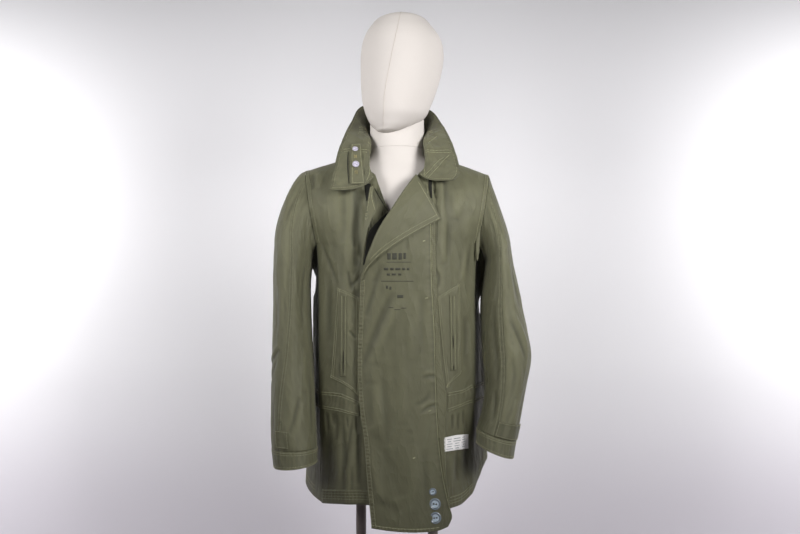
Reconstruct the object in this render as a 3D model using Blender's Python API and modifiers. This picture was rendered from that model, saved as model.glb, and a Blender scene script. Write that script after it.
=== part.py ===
"""Windbreaker on a limbless dress form, built from its cut cloth pieces.

Metres, +Z up. The stand's base plate rests on Z = 0, centred on the origin.
The garment faces -Y. "Right" and "left" are the wearer's own sides, so the
right sleeve is at -X. The cloth pieces are open sheets with a Solidify wall.
Each one is a grid of points between its cut edges, lifted on to the shape
that the jacket takes on the form.
"""

import bpy
import numpy as np
from mathutils import Vector

COLLECTION = "windbreaker"
CLOTH_WALL = 0.0016
TRIM_WALL = 0.0012
COLLAR_WALL = 0.0020
SEAM_GAP = 0.0006
LAYER_GAP = 0.0004
SOLID_GAP = 0.0004
# Facets of a piece and of the panel under it differ, so trims stand a little further out.
FACET_GAP = 0.0008
TRIM_LIFT = CLOTH_WALL / 2 + LAYER_GAP + FACET_GAP + TRIM_WALL / 2

# ---------------------------------------------------------------- materials
# name: (red, green, blue, roughness, metallic), linear colours
FINISHES = {
    "cloth": (0.130, 0.130, 0.084, 0.85, 0.0),
    "cloth_dark": (0.085, 0.085, 0.055, 0.85, 0.0),
    "label": (0.70, 0.69, 0.66, 0.70, 0.0),
    "button_blue": (0.16, 0.20, 0.24, 0.25, 0.0),
    "button_pale": (0.55, 0.52, 0.62, 0.30, 0.0),
    "linen": (0.80, 0.74, 0.69, 0.80, 0.0),
    "steel": (0.10, 0.08, 0.07, 0.40, 0.8),
}

# ------------------------------------------------------------ body of the jacket
# Level sections of the jacket. front_y is the middle of the front, seam the
# side seam's crease, wide the point furthest out and back_y the middle back.
BODY = (
    # z, front_y, seam_x, seam_y, wide_x, wide_y, back_y
    (0.25, -0.141, 0.158, -0.044, 0.205, 0.050, 0.128),
    (0.33, -0.133, 0.160, -0.045, 0.203, 0.050, 0.130),
    (0.45, -0.124, 0.160, -0.046, 0.197, 0.048, 0.128),
    (0.55, -0.118, 0.163, -0.047, 0.190, 0.046, 0.120),
    (0.65, -0.117, 0.164, -0.047, 0.187, 0.046, 0.122),
    (0.75, -0.121, 0.165, -0.047, 0.184, 0.046, 0.128),
    (0.85, -0.124, 0.167, -0.046, 0.180, 0.045, 0.130),
    (0.90, -0.119, 0.178, -0.060, 0.183, 0.045, 0.130),
    (0.95, -0.106, 0.190, -0.060, 0.189, 0.045, 0.127),
    (1.00, -0.096, 0.204, -0.055, 0.201, 0.045, 0.123),
    (1.06, -0.090, 0.215, -0.050, 0.210, 0.045, 0.120),
)
FRONT_BULGE = 2.2
BACK_CORNER = 0.85
SIDE_FROM = 0.66
SIDE_BEND = 0.045
SIDE_HOLLOW = 0.012

RIDGE_Y = 0.002
SHOULDER_ROUND = 0.11
NECK_X = 0.072
NECK_Z = 1.045
SHOULDER_SLOPE = 0.368
TIP_X = 0.198
BACK_NECK_RISE = 0.017
BACK_NECK_RIDGE = 0.045
BODY_CORE = (0.0, 0.04, 0.65)

# ------------------------------------------------------------------ cut edges
# Front edges in (x, z). Right-hand ones have x < 0 already.
ARMHOLE_FRONT = ((0.198, 0.9986), (0.193, 0.962), (0.183, 0.918), (0.174, 0.880), (0.167, 0.850))
# Back edge of the armhole in (a, z): a is the way round the back, 1 at the side seam.
ARMHOLE_BACK = (
    (0.603, 0.9986), (0.625, 0.970), (0.66, 0.930), (0.73, 0.890), (0.84, 0.861), (1.0, 0.850),
)
RIGHT_NECK = ((-0.072, 1.045), (-0.068, 1.022), (-0.060, 1.006), (-0.045, 0.992))
RIGHT_INNER_EDGE = ((-0.045, 0.992), (-0.032, 0.956), (-0.0185, 0.918), (0.0, 0.872), (0.030, 0.815))
RIGHT_FRONT_EDGE = ((0.030, 0.815), (0.036, 0.700), (0.036, 0.550), (0.040, 0.313))
RIGHT_HEM = ((-0.158, 0.298), (-0.108, 0.308), (-0.057, 0.311), (0.040, 0.313))
RIGHT_SEAM_FOOT = 0.298
LEFT_NECK = ((0.057, 1.001), (0.064, 1.012), (0.069, 1.026), (0.072, 1.045))
FRONT_SEAM = (
    (0.057, 1.001), (0.064, 0.970), (0.070, 0.894), (0.072, 0.773), (0.078, 0.663),
    (0.080, 0.580), (0.083, 0.490), (0.089, 0.417), (0.095, 0.364), (0.107, 0.311),
)
LEFT_HEM = ((0.107, 0.311), (0.130, 0.311), (0.160, 0.320))
LEFT_SEAM_FOOT = 0.320
BACK_HEM = (
    (-1.0, 0.300), (-0.86, 0.315), (-0.66, 0.330), (0.0, 0.338),
    (0.66, 0.330), (0.86, 0.322), (1.0, 0.322),
)
ROLL_LINE = (
    (0.042, 0.990), (0.020, 0.960), (0.008, 0.942), (-0.007, 0.918),
    (-0.035, 0.873), (-0.053, 0.831), (-0.066, 0.797), (-0.074, 0.773),
)
OVERLAP_EDGE = (
    (-0.074, 0.773), (-0.078, 0.690), (-0.081, 0.590), (-0.075, 0.496),
    (-0.068, 0.449), (-0.059, 0.345), (-0.051, 0.269),
)
OVERLAP_TOP = ((0.042, 0.990), (0.050, 0.998), (0.057, 1.001))
OVERLAP_TAIL = ((0.107, 0.311), (0.112, 0.290), (0.104, 0.273))
OVERLAP_FOOT = ((-0.051, 0.269), (0.002, 0.265), (0.030, 0.263), (0.070, 0.265), (0.104, 0.273))
LAPEL_NOTCH = ((0.042, 0.984), (0.068, 0.940), (0.091, 0.899))
LAPEL_EDGE = (
    (0.091, 0.899), (0.048, 0.876), (-0.007, 0.843),
    (-0.047, 0.812), (-0.064, 0.790), (-0.0695, 0.774),
)
STRIP_OUTER = ((-0.062, 0.969), (-0.065, 0.930), (-0.069, 0.870), (-0.0725, 0.804))
STRIP_INNER = ((-0.053, 0.969), (-0.0430, 0.920), (-0.059, 0.866), (-0.0695, 0.804))

# How far the right front lies behind the overlap, and further back at the neck.
UNDERLAP_DROP = 0.012
NECK_DROP = 0.017
ROLL_LIFT = 0.010

# ------------------------------------------------------------------ helpers


def smooth_rows(table, at):
    """A table's other columns at values of its first one, on smooth curves."""
    rows = np.array(table, float)
    knots = rows[:, 0]
    values = rows[:, 1:]
    slopes = np.gradient(values, knots, axis=0)
    at = np.clip(np.asarray(at, float), knots[0], knots[-1])
    index = np.clip(np.searchsorted(knots, at, side="right") - 1, 0, len(knots) - 2)
    width = (knots[index + 1] - knots[index])[..., None]
    t = ((at - knots[index]))[..., None] / width
    start = values[index] * (2 * t**3 - 3 * t**2 + 1)
    start_slope = slopes[index] * (t**3 - 2 * t**2 + t) * width
    end = values[index + 1] * (3 * t**2 - 2 * t**3)
    end_slope = slopes[index + 1] * (t**3 - t**2) * width
    return start + start_slope + end + end_slope


def along(points, count, lift=None):
    """count + 1 points, evenly spaced, on a smooth curve through points.

    With lift, a function from flat points to places, the spacing is even
    on the lifted curve.
    """
    rows = np.array(points, float)
    steps = np.linalg.norm(np.diff(rows, axis=0), axis=1)
    knots = np.concatenate([[0.0], np.cumsum(steps)])
    dense = smooth_rows(np.column_stack([knots, rows]), np.linspace(0, knots[-1], 201))
    places = dense if lift is None else lift(dense[:, 0], dense[:, 1])
    run = np.concatenate([[0.0], np.cumsum(np.linalg.norm(np.diff(places, axis=0), axis=1))])
    wanted = np.linspace(0, run[-1], count + 1)
    return np.column_stack([np.interp(wanted, run, dense[:, i]) for i in range(dense.shape[1])])


def joined(*curves):
    """Curves end to end, each one's first point dropped where it repeats."""
    return np.vstack([curves[0]] + [curve[1:] for curve in curves[1:]])


def patch(left, right, top, bottom):
    """A grid between four edges (a Coons patch), rows down and columns across."""
    s = np.linspace(0, 1, len(top))[None, :, None]
    t = np.linspace(0, 1, len(left))[:, None, None]
    across = (1 - s) * left[:, None] + s * right[:, None]
    down = (1 - t) * top[None, :] + t * bottom[None, :]
    corners = (
        (1 - s) * (1 - t) * top[0] + s * (1 - t) * top[-1]
        + (1 - s) * t * bottom[0] + s * t * bottom[-1]
    )
    return across + down - corners


def smoothstep(value, low, high):
    t = np.clip((value - low) / (high - low), 0, 1)
    return t * t * (3 - 2 * t)


def inset(grid, gap):
    """The grid with its outer points pulled in by a gap, in its own plane."""
    out = grid.copy()
    for axis in (0, 1):
        rows = np.moveaxis(out, axis, 0)
        for edge, inner in ((0, 1), (-1, -2)):
            step = rows[inner] - rows[edge]
            length = np.maximum(np.linalg.norm(step, axis=-1, keepdims=True), 1e-9)
            rows[edge] += step / length * gap
    return out


def normals(grid):
    """Unit normals of a grid of places."""
    down = np.gradient(grid, axis=0)
    across = np.gradient(grid, axis=1)
    cross = np.cross(down, across)
    return cross / np.linalg.norm(cross, axis=-1, keepdims=True)


def forward_normals(grid):
    """Unit normals of a grid of places, on the side that faces forward."""
    outward = normals(grid)
    return -outward if outward[..., 1].mean() > 0 else outward


# ------------------------------------------------------- shape of the jacket


def ridge_z(x):
    """Height of the shoulder line."""
    return NECK_Z - SHOULDER_SLOPE * np.maximum(np.abs(x) - NECK_X, 0)


def shoulder_round(drop):
    """0 on the shoulder line, rising to 1 where the cloth hangs straight."""
    return np.sqrt(1 - (1 - np.clip(drop / SHOULDER_ROUND, 0, 1)) ** 2)


def front_y(x, z):
    """The front sheet's y."""
    front, seam_x, seam_y = np.moveaxis(smooth_rows(BODY, z)[..., :3], -1, 0)
    across = np.abs(x) / seam_x
    level = seam_y + (front - seam_y) * (1 - across**FRONT_BULGE)
    return RIDGE_Y + (level - RIDGE_Y) * shoulder_round(ridge_z(x) - z)


def front_place(x, z):
    return np.stack([x, front_y(x, z), z], axis=-1)


def right_front_place(x, z):
    """The right front, which drops behind the overlap and back to the throat."""
    drop = UNDERLAP_DROP * smoothstep(x, -0.108, -0.072)
    drop = drop + NECK_DROP * smoothstep(x, -0.085, -0.050) * smoothstep(z, 0.78, 0.90)
    drop = drop * (1 - smoothstep(z, 0.935, 0.995))
    return np.stack([x, front_y(x, z) + drop, z], axis=-1)


def roll_x(z):
    rows = sorted((row[1], row[0]) for row in ROLL_LINE)
    return smooth_rows(rows, z)[..., 0]


def overlap_place(x, z):
    """The overlap panel, which stands off the chest along the lapel's roll."""
    beside = np.exp(-(((x - roll_x(z)) / 0.05) ** 2))
    lift = ROLL_LIFT * beside * smoothstep(z, 0.70, 0.84) * (1 - smoothstep(z, 0.90, 0.985))
    return np.stack([x, front_y(x, z) - lift, z], axis=-1)


def back_section(a, z):
    """(x, y) of the back sheet before the shoulder's rounding."""
    _, seam_x, seam_y, wide_x, wide_y, back_y = np.moveaxis(smooth_rows(BODY, z), -1, 0)
    turn = np.minimum(np.abs(a) / SIDE_FROM, 1) * np.pi / 2
    x = wide_x * np.sin(turn) ** BACK_CORNER
    y = wide_y + (back_y - wide_y) * np.maximum(np.cos(turn), 0) ** BACK_CORNER
    s = np.maximum(np.abs(a) - SIDE_FROM, 0) / (1 - SIDE_FROM)
    x = (1 - s) ** 2 * x + 2 * s * (1 - s) * (wide_x - SIDE_HOLLOW) + s**2 * seam_x
    y = (1 - s) ** 2 * y + 2 * s * (1 - s) * (wide_y - SIDE_BEND) + s**2 * seam_y
    return np.sign(a) * x, y


def back_place(a, z):
    """The back sheet: a runs from -1 at the right side seam to 1 at the left."""
    x, y = back_section(a, z)
    neck = 1 - np.minimum(np.abs(x) / NECK_X, 1) ** 2
    drop = ridge_z(x) + BACK_NECK_RIDGE * neck - z
    side = np.maximum(np.abs(a) - SIDE_FROM, 0) / (1 - SIDE_FROM)
    rounding = shoulder_round(drop) * (1 - side) + side
    return np.stack([x, RIDGE_Y + (y - RIDGE_Y) * rounding, z], axis=-1)


def back_a(x, z):
    """The way round the back at which the sheet reaches x."""
    wide_x = smooth_rows(BODY, z)[..., 3]
    turn = np.arcsin(np.clip(np.abs(x) / wide_x, 0, 1) ** (1 / BACK_CORNER))
    return np.sign(x) * turn / (np.pi / 2) * SIDE_FROM


# ------------------------------------------------------------------- objects


def material(node, finish):
    red, green, blue, roughness, metallic = FINISHES[finish]
    made = bpy.data.materials.new(f"{node}_{finish}")
    made.use_nodes = True
    made.diffuse_color = (red, green, blue, 1)
    shader = made.node_tree.nodes["Principled BSDF"]
    shader.inputs["Base Color"].default_value = (red, green, blue, 1)
    shader.inputs["Roughness"].default_value = roughness
    shader.inputs["Metallic"].default_value = metallic
    return made


def mesh_object(node, points, faces, finish):
    mesh = bpy.data.meshes.new(node)
    mesh.from_pydata([tuple(map(float, p)) for p in points], [], faces)
    mesh.validate()
    made = bpy.data.objects.new(node, mesh)
    made.data.materials.append(material(node, finish))
    bpy.data.collections[COLLECTION].objects.link(made)
    return made


def cloth(node, grid, wall=CLOTH_WALL, finish="cloth", closed=False):
    """A sheet over a grid of places, walled by Solidify. closed joins the last column to the first."""
    rows, columns = grid.shape[:2]
    span = columns if closed else columns - 1
    faces = [
        (
            row * columns + column,
            row * columns + (column + 1) % columns,
            (row + 1) * columns + (column + 1) % columns,
            (row + 1) * columns + column,
        )
        for row in range(rows - 1)
        for column in range(span)
    ]
    made = mesh_object(node, grid.reshape(-1, 3), faces, finish)
    wall_maker = made.modifiers.new("wall", "SOLIDIFY")
    wall_maker.thickness = wall
    wall_maker.offset = 0
    wall_maker.use_even_offset = True
    return made


def moved_out(grid, lift, away_from):
    """The grid moved out along its normals, away from a place behind it."""
    outward = normals(grid)
    if (outward * (grid - np.array(away_from))).sum(axis=-1).mean() < 0:
        outward = -outward
    return grid + outward * lift


def on_panel(place, left, right, top, bottom, lift):
    """A piece's grid on a front panel's own surface, moved out from it."""
    flat = patch(left, right, top, bottom)
    return moved_out(place(flat[..., 0], flat[..., 1]), lift, BODY_CORE)


def closed_loft(node, rings, finish):
    """A solid through level rings of points, with a fan cap at each end."""
    count = len(rings[0])
    poles = [ring.mean(axis=0, keepdims=True) for ring in (rings[0], rings[-1])]
    points = np.vstack(rings + poles)
    faces = [
        (
            ring * count + step,
            ring * count + (step + 1) % count,
            (ring + 1) * count + (step + 1) % count,
            (ring + 1) * count + step,
        )
        for ring in range(len(rings) - 1)
        for step in range(count)
    ]
    low = len(rings) * count
    last = (len(rings) - 1) * count
    faces += [((step + 1) % count, step, low) for step in range(count)]
    faces += [(last + step, last + (step + 1) % count, low + 1) for step in range(count)]
    return mesh_object(node, points, faces, finish)


# -------------------------------------------------------------- body panels
ARM_STEPS = 8
SIDE_STEPS = 12
NECK_STEPS = 3
SHOULDER_STEPS = 5
INNER_EDGE_STEPS = 6
OVERLAP_COLUMNS = 10
OVERLAP_TAIL_STEPS = 2
OVERLAP_ROLL_STEPS = 8
OVERLAP_EDGE_STEPS = 12
BACK_SHOULDER_STEPS = 6
BACK_NECK_STEPS = 5
BACK_COLUMNS = 2 * (BACK_SHOULDER_STEPS + BACK_NECK_STEPS)


def mirrored(points):
    return tuple((-x, z) for x, z in points)


def seam_points(foot, sign):
    """The side seam on the front sheet, from the underarm to the hem."""
    z = np.linspace(ARMHOLE_FRONT[-1][1], foot, SIDE_STEPS + 1)
    seam_x = smooth_rows(BODY, z)[..., 1]
    return np.column_stack([sign * seam_x, z])


def front_right():
    armhole = along(mirrored(ARMHOLE_FRONT), ARM_STEPS, front_place)
    left = joined(armhole, seam_points(RIGHT_SEAM_FOOT, -1))
    shoulder = along(((-TIP_X, ridge_z(TIP_X)), (-NECK_X, NECK_Z)), SHOULDER_STEPS, front_place)
    neck = along(RIGHT_NECK, NECK_STEPS, front_place)
    inner = along(RIGHT_INNER_EDGE, INNER_EDGE_STEPS, front_place)
    top = joined(shoulder, neck, inner)
    right = along(RIGHT_FRONT_EDGE, ARM_STEPS + SIDE_STEPS)
    bottom = along(RIGHT_HEM, len(top) - 1)
    flat = patch(left, right, top, bottom)
    cloth("front_right", inset(right_front_place(flat[..., 0], flat[..., 1]), SEAM_GAP))


def front_left():
    armhole = along(ARMHOLE_FRONT, ARM_STEPS, front_place)
    right = joined(armhole, seam_points(LEFT_SEAM_FOOT, 1))
    neck = along(LEFT_NECK, NECK_STEPS, front_place)
    shoulder = along(((NECK_X, NECK_Z), (TIP_X, ridge_z(TIP_X))), SHOULDER_STEPS, front_place)
    top = joined(neck, shoulder)
    left = along(FRONT_SEAM, ARM_STEPS + SIDE_STEPS, front_place)
    bottom = along(LEFT_HEM, len(top) - 1)
    flat = patch(left, right, top, bottom)
    cloth("front_left", inset(front_place(flat[..., 0], flat[..., 1]), SEAM_GAP))


def overlap_panel():
    roll = along(ROLL_LINE, OVERLAP_ROLL_STEPS, front_place)
    left = joined(roll, along(OVERLAP_EDGE, OVERLAP_EDGE_STEPS))
    seam = along(FRONT_SEAM, len(left) - 1 - OVERLAP_TAIL_STEPS, front_place)
    right = joined(seam, along(OVERLAP_TAIL, OVERLAP_TAIL_STEPS))
    top = along(OVERLAP_TOP, OVERLAP_COLUMNS)
    bottom = along(OVERLAP_FOOT, OVERLAP_COLUMNS)
    flat = patch(left, right, top, bottom)
    cloth("overlap_panel", inset(overlap_place(flat[..., 0], flat[..., 1]), SEAM_GAP))


def back_side(foot):
    """The back's side edge, down the armhole and the side seam to the hem."""
    armhole = along(ARMHOLE_BACK, ARM_STEPS, back_place)
    z = np.linspace(ARMHOLE_BACK[-1][1], foot, SIDE_STEPS + 1)
    return joined(armhole, np.column_stack([np.ones(SIDE_STEPS + 1), z]))


def back_top():
    """Half of the back's upper edge, from the shoulder's tip to the middle of the neck."""
    shoulder = np.linspace(TIP_X, NECK_X, BACK_SHOULDER_STEPS + 1)
    neck = NECK_X * np.cos(np.linspace(0, np.pi / 2, BACK_NECK_STEPS + 1))
    x = np.concatenate([shoulder, neck[1:]])
    z = ridge_z(x) + BACK_NECK_RISE * (1 - np.minimum(x / NECK_X, 1) ** 2)
    edge = np.column_stack([back_a(x, z), z])
    edge[0] = ARMHOLE_BACK[0]
    return edge


def back():
    right = back_side(BACK_HEM[-1][1])
    left = back_side(BACK_HEM[0][1]) * (-1, 1)
    half = back_top()
    top = joined(half * (-1, 1), half[::-1])
    bottom = along(BACK_HEM, BACK_COLUMNS, back_place)
    flat = patch(left, right, top, bottom)
    cloth("back", inset(back_place(flat[..., 0], flat[..., 1]), SEAM_GAP))


# ------------------------------------------------------------------ sleeves
# head: how far the cap stands out and up at the shoulder.
# rows: z at the middle, outermost and innermost x, middle y, half depth, rise of the inner side.
# overarm: v down the sleeve and the overarm seam's k there.
SLEEVES = {
    "right": {
        "sign": -1,
        "head": (0.036, 0.002),
        "rows": (
            (0.828, 0.263, 0.183, -0.006, 0.086, -0.020),
            (0.780, 0.265, 0.187, -0.010, 0.085, -0.006),
            (0.729, 0.265, 0.187, -0.015, 0.081, 0.0),
            (0.664, 0.266, 0.184, -0.022, 0.077, 0.0),
            (0.609, 0.266, 0.181, -0.030, 0.074, 0.0),
            (0.548, 0.266, 0.177, -0.044, 0.070, 0.0),
            (0.479, 0.264, 0.172, -0.062, 0.066, 0.0),
            (0.437, 0.261, 0.169, -0.073, 0.063, 0.0),
            (0.420, 0.259, 0.168, -0.077, 0.062, 0.0),
            (0.384, 0.254, 0.168, -0.086, 0.060, 0.004),
        ),
        "cuff_from": 0.420,
        "overarm": (
            (0.0, 0.125), (0.25, 0.25), (0.4, 0.262), (0.6, 0.225), (0.8, 0.165), (1.0, 0.130),
        ),
    },
    "left": {
        "sign": 1,
        "head": (0.014, -0.016),
        "rows": (
            (0.828, 0.247, 0.187, -0.006, 0.086, -0.020),
            (0.780, 0.257, 0.190, -0.010, 0.085, -0.006),
            (0.729, 0.266, 0.187, -0.015, 0.081, 0.0),
            (0.664, 0.280, 0.186, -0.022, 0.077, 0.0),
            (0.609, 0.287, 0.184, -0.030, 0.074, 0.0),
            (0.548, 0.274, 0.180, -0.042, 0.070, 0.004),
            (0.479, 0.257, 0.173, -0.060, 0.066, 0.010),
            (0.445, 0.248, 0.169, -0.070, 0.064, 0.012),
            (0.412, 0.242, 0.168, -0.080, 0.062, 0.014),
        ),
        "cuff_from": 0.445,
        "overarm": (
            (0.0, 0.125), (0.25, 0.25), (0.4, 0.265), (0.6, 0.285), (0.8, 0.285), (1.0, 0.28),
        ),
    },
}
CAP_STEPS = 5
SLEEVE_STEPS = 10
FRONT_HALF_STEPS = 6
BACK_HALF_STEPS = 9
CUFF_STEPS = 2
CUFF_SIDES = 16
# The cap is the share of the sleeve between the armhole and its first level section.
CAP_SHARE = 0.28
CAP_FULLNESS = 0.12
CAP_RISE_UNDER = 0.015
CAP_RISE_OVER = 0.080
ARMHOLE_GAP = 0.0022
CUFF_GAP = 0.001
OVERARM_GAP = 0.0022
UNDERARM_GAP = 0.0060
UNDERARM_REACH = (0.010, -0.014)
ARMHOLE_MIDDLE = (0.184, 0.0, 0.925)


def armhole_ring(k, sign):
    """Places round the armhole: k is 0 at the shoulder, 0.5 underarm, 1 back at the shoulder."""
    k = np.mod(np.asarray(k, float), 1)
    share = np.linspace(0, 0.5, 41)
    front = along(ARMHOLE_FRONT, 40, front_place)
    back_edge = along(ARMHOLE_BACK, 40, back_place)
    front = front_place(front[:, 0], front[:, 1])
    back_edge = back_place(back_edge[:, 0], back_edge[:, 1])
    ahead = np.stack([np.interp(k, share, front[:, i]) for i in range(3)], axis=-1)
    behind = np.stack([np.interp(1 - k, share, back_edge[:, i]) for i in range(3)], axis=-1)
    ring = np.where((k <= 0.5)[..., None], ahead, behind)
    return ring * (sign, 1, 1)


def section_point(rows, sign, z, k):
    """A place on the sleeve's level section: k is 0 outside, 0.25 in front and 0.5 inside."""
    table = sorted(rows)
    outer, inner, middle_y, depth, rise = np.moveaxis(smooth_rows(table, z), -1, 0)
    turn = 2 * np.pi * k
    x = (outer + inner) / 2 + (outer - inner) / 2 * np.cos(turn)
    y = middle_y - depth * np.sin(turn)
    height = z - rise * np.cos(turn)
    return np.stack([sign * x, y, height], axis=-1)


def sleeve_point(side, k, v):
    """A place on a sleeve: v is 0 at the armhole and 1 at the cuff's lower edge."""
    sleeve = SLEEVES[side]
    sign = sleeve["sign"]
    rows = sleeve["rows"]
    k, v = np.broadcast_arrays(np.asarray(k, float), np.asarray(v, float))
    top = rows[0][0]
    foot = rows[-1][0]
    down = np.clip((v - CAP_SHARE) / (1 - CAP_SHARE), 0, 1)
    tube = section_point(rows, sign, top + (foot - top) * down, k)
    start = armhole_ring(k, sign)
    high = (1 + np.cos(2 * np.pi * k)) / 2
    reach = [sleeve["head"][i] * high + UNDERARM_REACH[i] * (1 - high) for i in (0, 1)]
    first = start + np.stack([sign * reach[0], start[..., 1] * CAP_FULLNESS, reach[1]], axis=-1)
    end = section_point(rows, sign, np.full(k.shape, top), k)
    rise = CAP_RISE_UNDER + (CAP_RISE_OVER - CAP_RISE_UNDER) * high
    second = end + np.stack([0 * k, 0 * k, rise], axis=-1)
    t = np.clip(v / CAP_SHARE, 0, 1)[..., None]
    cap = (1 - t) ** 3 * start + 3 * t * (1 - t) ** 2 * first + 3 * t**2 * (1 - t) * second + t**3 * end
    inward = np.array(ARMHOLE_MIDDLE) * (sign, 1, 1) - start
    inward = inward / np.linalg.norm(inward, axis=-1, keepdims=True)
    away = inward * SEAM_GAP * high[..., None] + np.array([sign * ARMHOLE_GAP, 0, 0])
    cap = cap + (1 - t) * away
    return np.where((v < CAP_SHARE)[..., None], cap, tube)


def seam_k(side, v):
    """Where the overarm seam lies round the sleeve."""
    return smooth_rows(SLEEVES[side]["overarm"], v)[..., 0]


def v_at(side, z):
    rows = SLEEVES[side]["rows"]
    return CAP_SHARE + (1 - CAP_SHARE) * (rows[0][0] - z) / (rows[0][0] - rows[-1][0])


def sleeve(side):
    cuff_v = v_at(side, SLEEVES[side]["cuff_from"])
    v = np.concatenate([
        np.linspace(0, CAP_SHARE, CAP_STEPS + 1),
        np.linspace(CAP_SHARE, cuff_v - CUFF_GAP, SLEEVE_STEPS + 1)[1:],
    ])[:, None]
    seam = seam_k(side, v)
    front_share = np.linspace(0, 1, FRONT_HALF_STEPS + 1)[None, :]
    back_share = np.linspace(0, 1, BACK_HALF_STEPS + 1)[None, :]
    front = seam + OVERARM_GAP + (0.5 - OVERARM_GAP - UNDERARM_GAP - seam) * front_share
    behind = 0.5 + UNDERARM_GAP + (0.5 + seam - OVERARM_GAP - UNDERARM_GAP) * back_share
    cloth(f"sleeve_{side}_front", sleeve_point(side, front, v))
    cloth(f"sleeve_{side}_back", sleeve_point(side, behind, v))
    cuff_rows = np.linspace(cuff_v + CUFF_GAP, 1, CUFF_STEPS + 1)[:, None]
    around = np.linspace(0, 1, CUFF_SIDES, endpoint=False)[None, :]
    cloth(f"cuff_{side}", sleeve_point(side, around, cuff_rows), closed=True)


CUFF_TABS = {
    # k of the two ends, z of the upper and lower edges, columns
    "right": (0.135, 0.232, 0.466, 0.430, 5),
    "left": (0.030, 0.290, 0.482, 0.452, 9),
}
CUFF_CORE = (0.214, -0.07, 0.45)


def cuff_tab(side):
    k_from, k_to, z_top, z_foot, columns = CUFF_TABS[side]
    k = np.linspace(k_from, k_to, columns)[None, :]
    v = np.linspace(v_at(side, z_top), v_at(side, z_foot), 3)[:, None]
    grid = sleeve_point(side, k, v)
    core = np.array(CUFF_CORE) * (SLEEVES[side]["sign"], 1, 1)
    cloth(f"cuff_tab_{side}", moved_out(grid, TRIM_LIFT + LAYER_GAP, core), TRIM_WALL)


# -------------------------------------------------------------------- collar
# From the right front end, round the back of the neck, to the left front end.
# share, then x y z of the base, of the point that pulls the fold out, and of the rim.
COLLAR = (
    (0.00, -0.047, -0.090, 0.999, -0.062, -0.108, 0.966, -0.134, -0.112, 0.960),
    (0.13, -0.061, -0.070, 1.017, -0.046, -0.092, 1.056, -0.129, -0.080, 1.015),
    (0.24, -0.069, -0.040, 1.038, -0.034, -0.048, 1.096, -0.118, -0.040, 1.068),
    (0.33, -0.073, 0.002, 1.053, -0.050, 0.000, 1.106, -0.101, 0.010, 1.120),
    (0.41, -0.060, 0.050, 1.058, -0.060, 0.052, 1.112, -0.078, 0.060, 1.158),
    (0.50, 0.000, 0.086, 1.067, 0.000, 0.082, 1.114, 0.000, 0.110, 1.166),
    (0.59, 0.060, 0.050, 1.058, 0.060, 0.052, 1.112, 0.078, 0.060, 1.158),
    (0.67, 0.073, 0.002, 1.053, 0.050, 0.000, 1.106, 0.101, 0.010, 1.118),
    (0.76, 0.069, -0.040, 1.038, 0.034, -0.048, 1.094, 0.117, -0.040, 1.066),
    (0.87, 0.061, -0.070, 1.018, 0.046, -0.090, 1.054, 0.127, -0.078, 1.012),
    (1.00, 0.044, -0.090, 1.001, 0.058, -0.106, 0.972, 0.115, -0.104, 0.980),
)
COLLAR_COLUMNS = 24
COLLAR_ROWS = 6


def collar_point(share, s):
    """A place on the collar: s is 0 at the neck seam and 1 at the outer edge."""
    share, s = np.broadcast_arrays(np.asarray(share, float), np.asarray(s, float))
    row = smooth_rows(COLLAR, share)
    base, pull, rim = row[..., 0:3], row[..., 3:6], row[..., 6:9]
    s = s[..., None]
    return (1 - s) ** 2 * base + 2 * s * (1 - s) * pull + s**2 * rim


def collar():
    share = np.linspace(0, 1, COLLAR_COLUMNS + 1)[None, :]
    s = np.linspace(0, 1, COLLAR_ROWS + 1)[:, None]
    cloth("collar", collar_point(share, s), COLLAR_WALL)


# --------------------------------------------------------------------- trims


LAPEL_ROWS = 10
LAPEL_COLUMNS = 7
LAPEL_ROLL_STEPS = 5
# The roll starts this share of a half turn round, behind the roll line.
LAPEL_ROLL_FROM = 0.15
LAPEL_ROLL_RADIUS = 0.004
# The roll is at its full radius where the lapel is at least this wide.
LAPEL_FULL_WIDTH = 0.012
LAPEL_CLEARANCE = 0.0006
# How much of the roll's height is left at the lapel's outer edge.
LAPEL_EDGE_SHARE = 0.55


def lapel_left():
    """The left front's lapel, rolled over along its roll line on to the chest."""
    roll = along(ROLL_LINE, LAPEL_ROWS)
    notch = along(LAPEL_NOTCH, LAPEL_COLUMNS)
    outer = along(LAPEL_EDGE, LAPEL_ROWS)
    foot = np.linspace(roll[-1], outer[-1], LAPEL_COLUMNS + 1)
    flat = patch(roll, outer, notch, foot)
    across = flat[:, -1] - flat[:, 0]
    width = np.linalg.norm(across, axis=-1, keepdims=True)
    way = across / width
    radius = LAPEL_ROLL_RADIUS * np.minimum(width[:, 0] / LAPEL_FULL_WIDTH, 1)
    columns = []
    for angle in np.linspace(LAPEL_ROLL_FROM * np.pi, np.pi, LAPEL_ROLL_STEPS):
        spot = flat[:, 0] - way * (radius * np.sin(angle))[:, None]
        place = overlap_place(spot[:, 0], spot[:, 1])
        place[:, 1] -= radius * (1 - np.cos(angle)) + LAPEL_CLEARANCE
        columns.append(place)
    for column, share in enumerate(np.linspace(1, LAPEL_EDGE_SHARE, LAPEL_COLUMNS + 1)[1:], 1):
        place = overlap_place(flat[:, column, 0], flat[:, column, 1])
        place[:, 1] -= 2 * radius * share + LAPEL_CLEARANCE
        columns.append(place)
    cloth("lapel_left", np.stack(columns, axis=1))


STRIP_STEPS = 7
STRIP_LIFT = 0.0022


def strip_right():
    """The narrow front band of the right front, standing off its neck edge."""
    outer = along(STRIP_OUTER, STRIP_STEPS)
    inner = along(STRIP_INNER, STRIP_STEPS)
    top = np.linspace(outer[0], inner[0], 3)
    foot = np.linspace(outer[-1], inner[-1], 3)
    flat = patch(outer, inner, top, foot)
    grid = front_place(flat[..., 0], flat[..., 1])
    grid[..., 1] -= STRIP_LIFT
    cloth("strip_right", grid)


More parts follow.
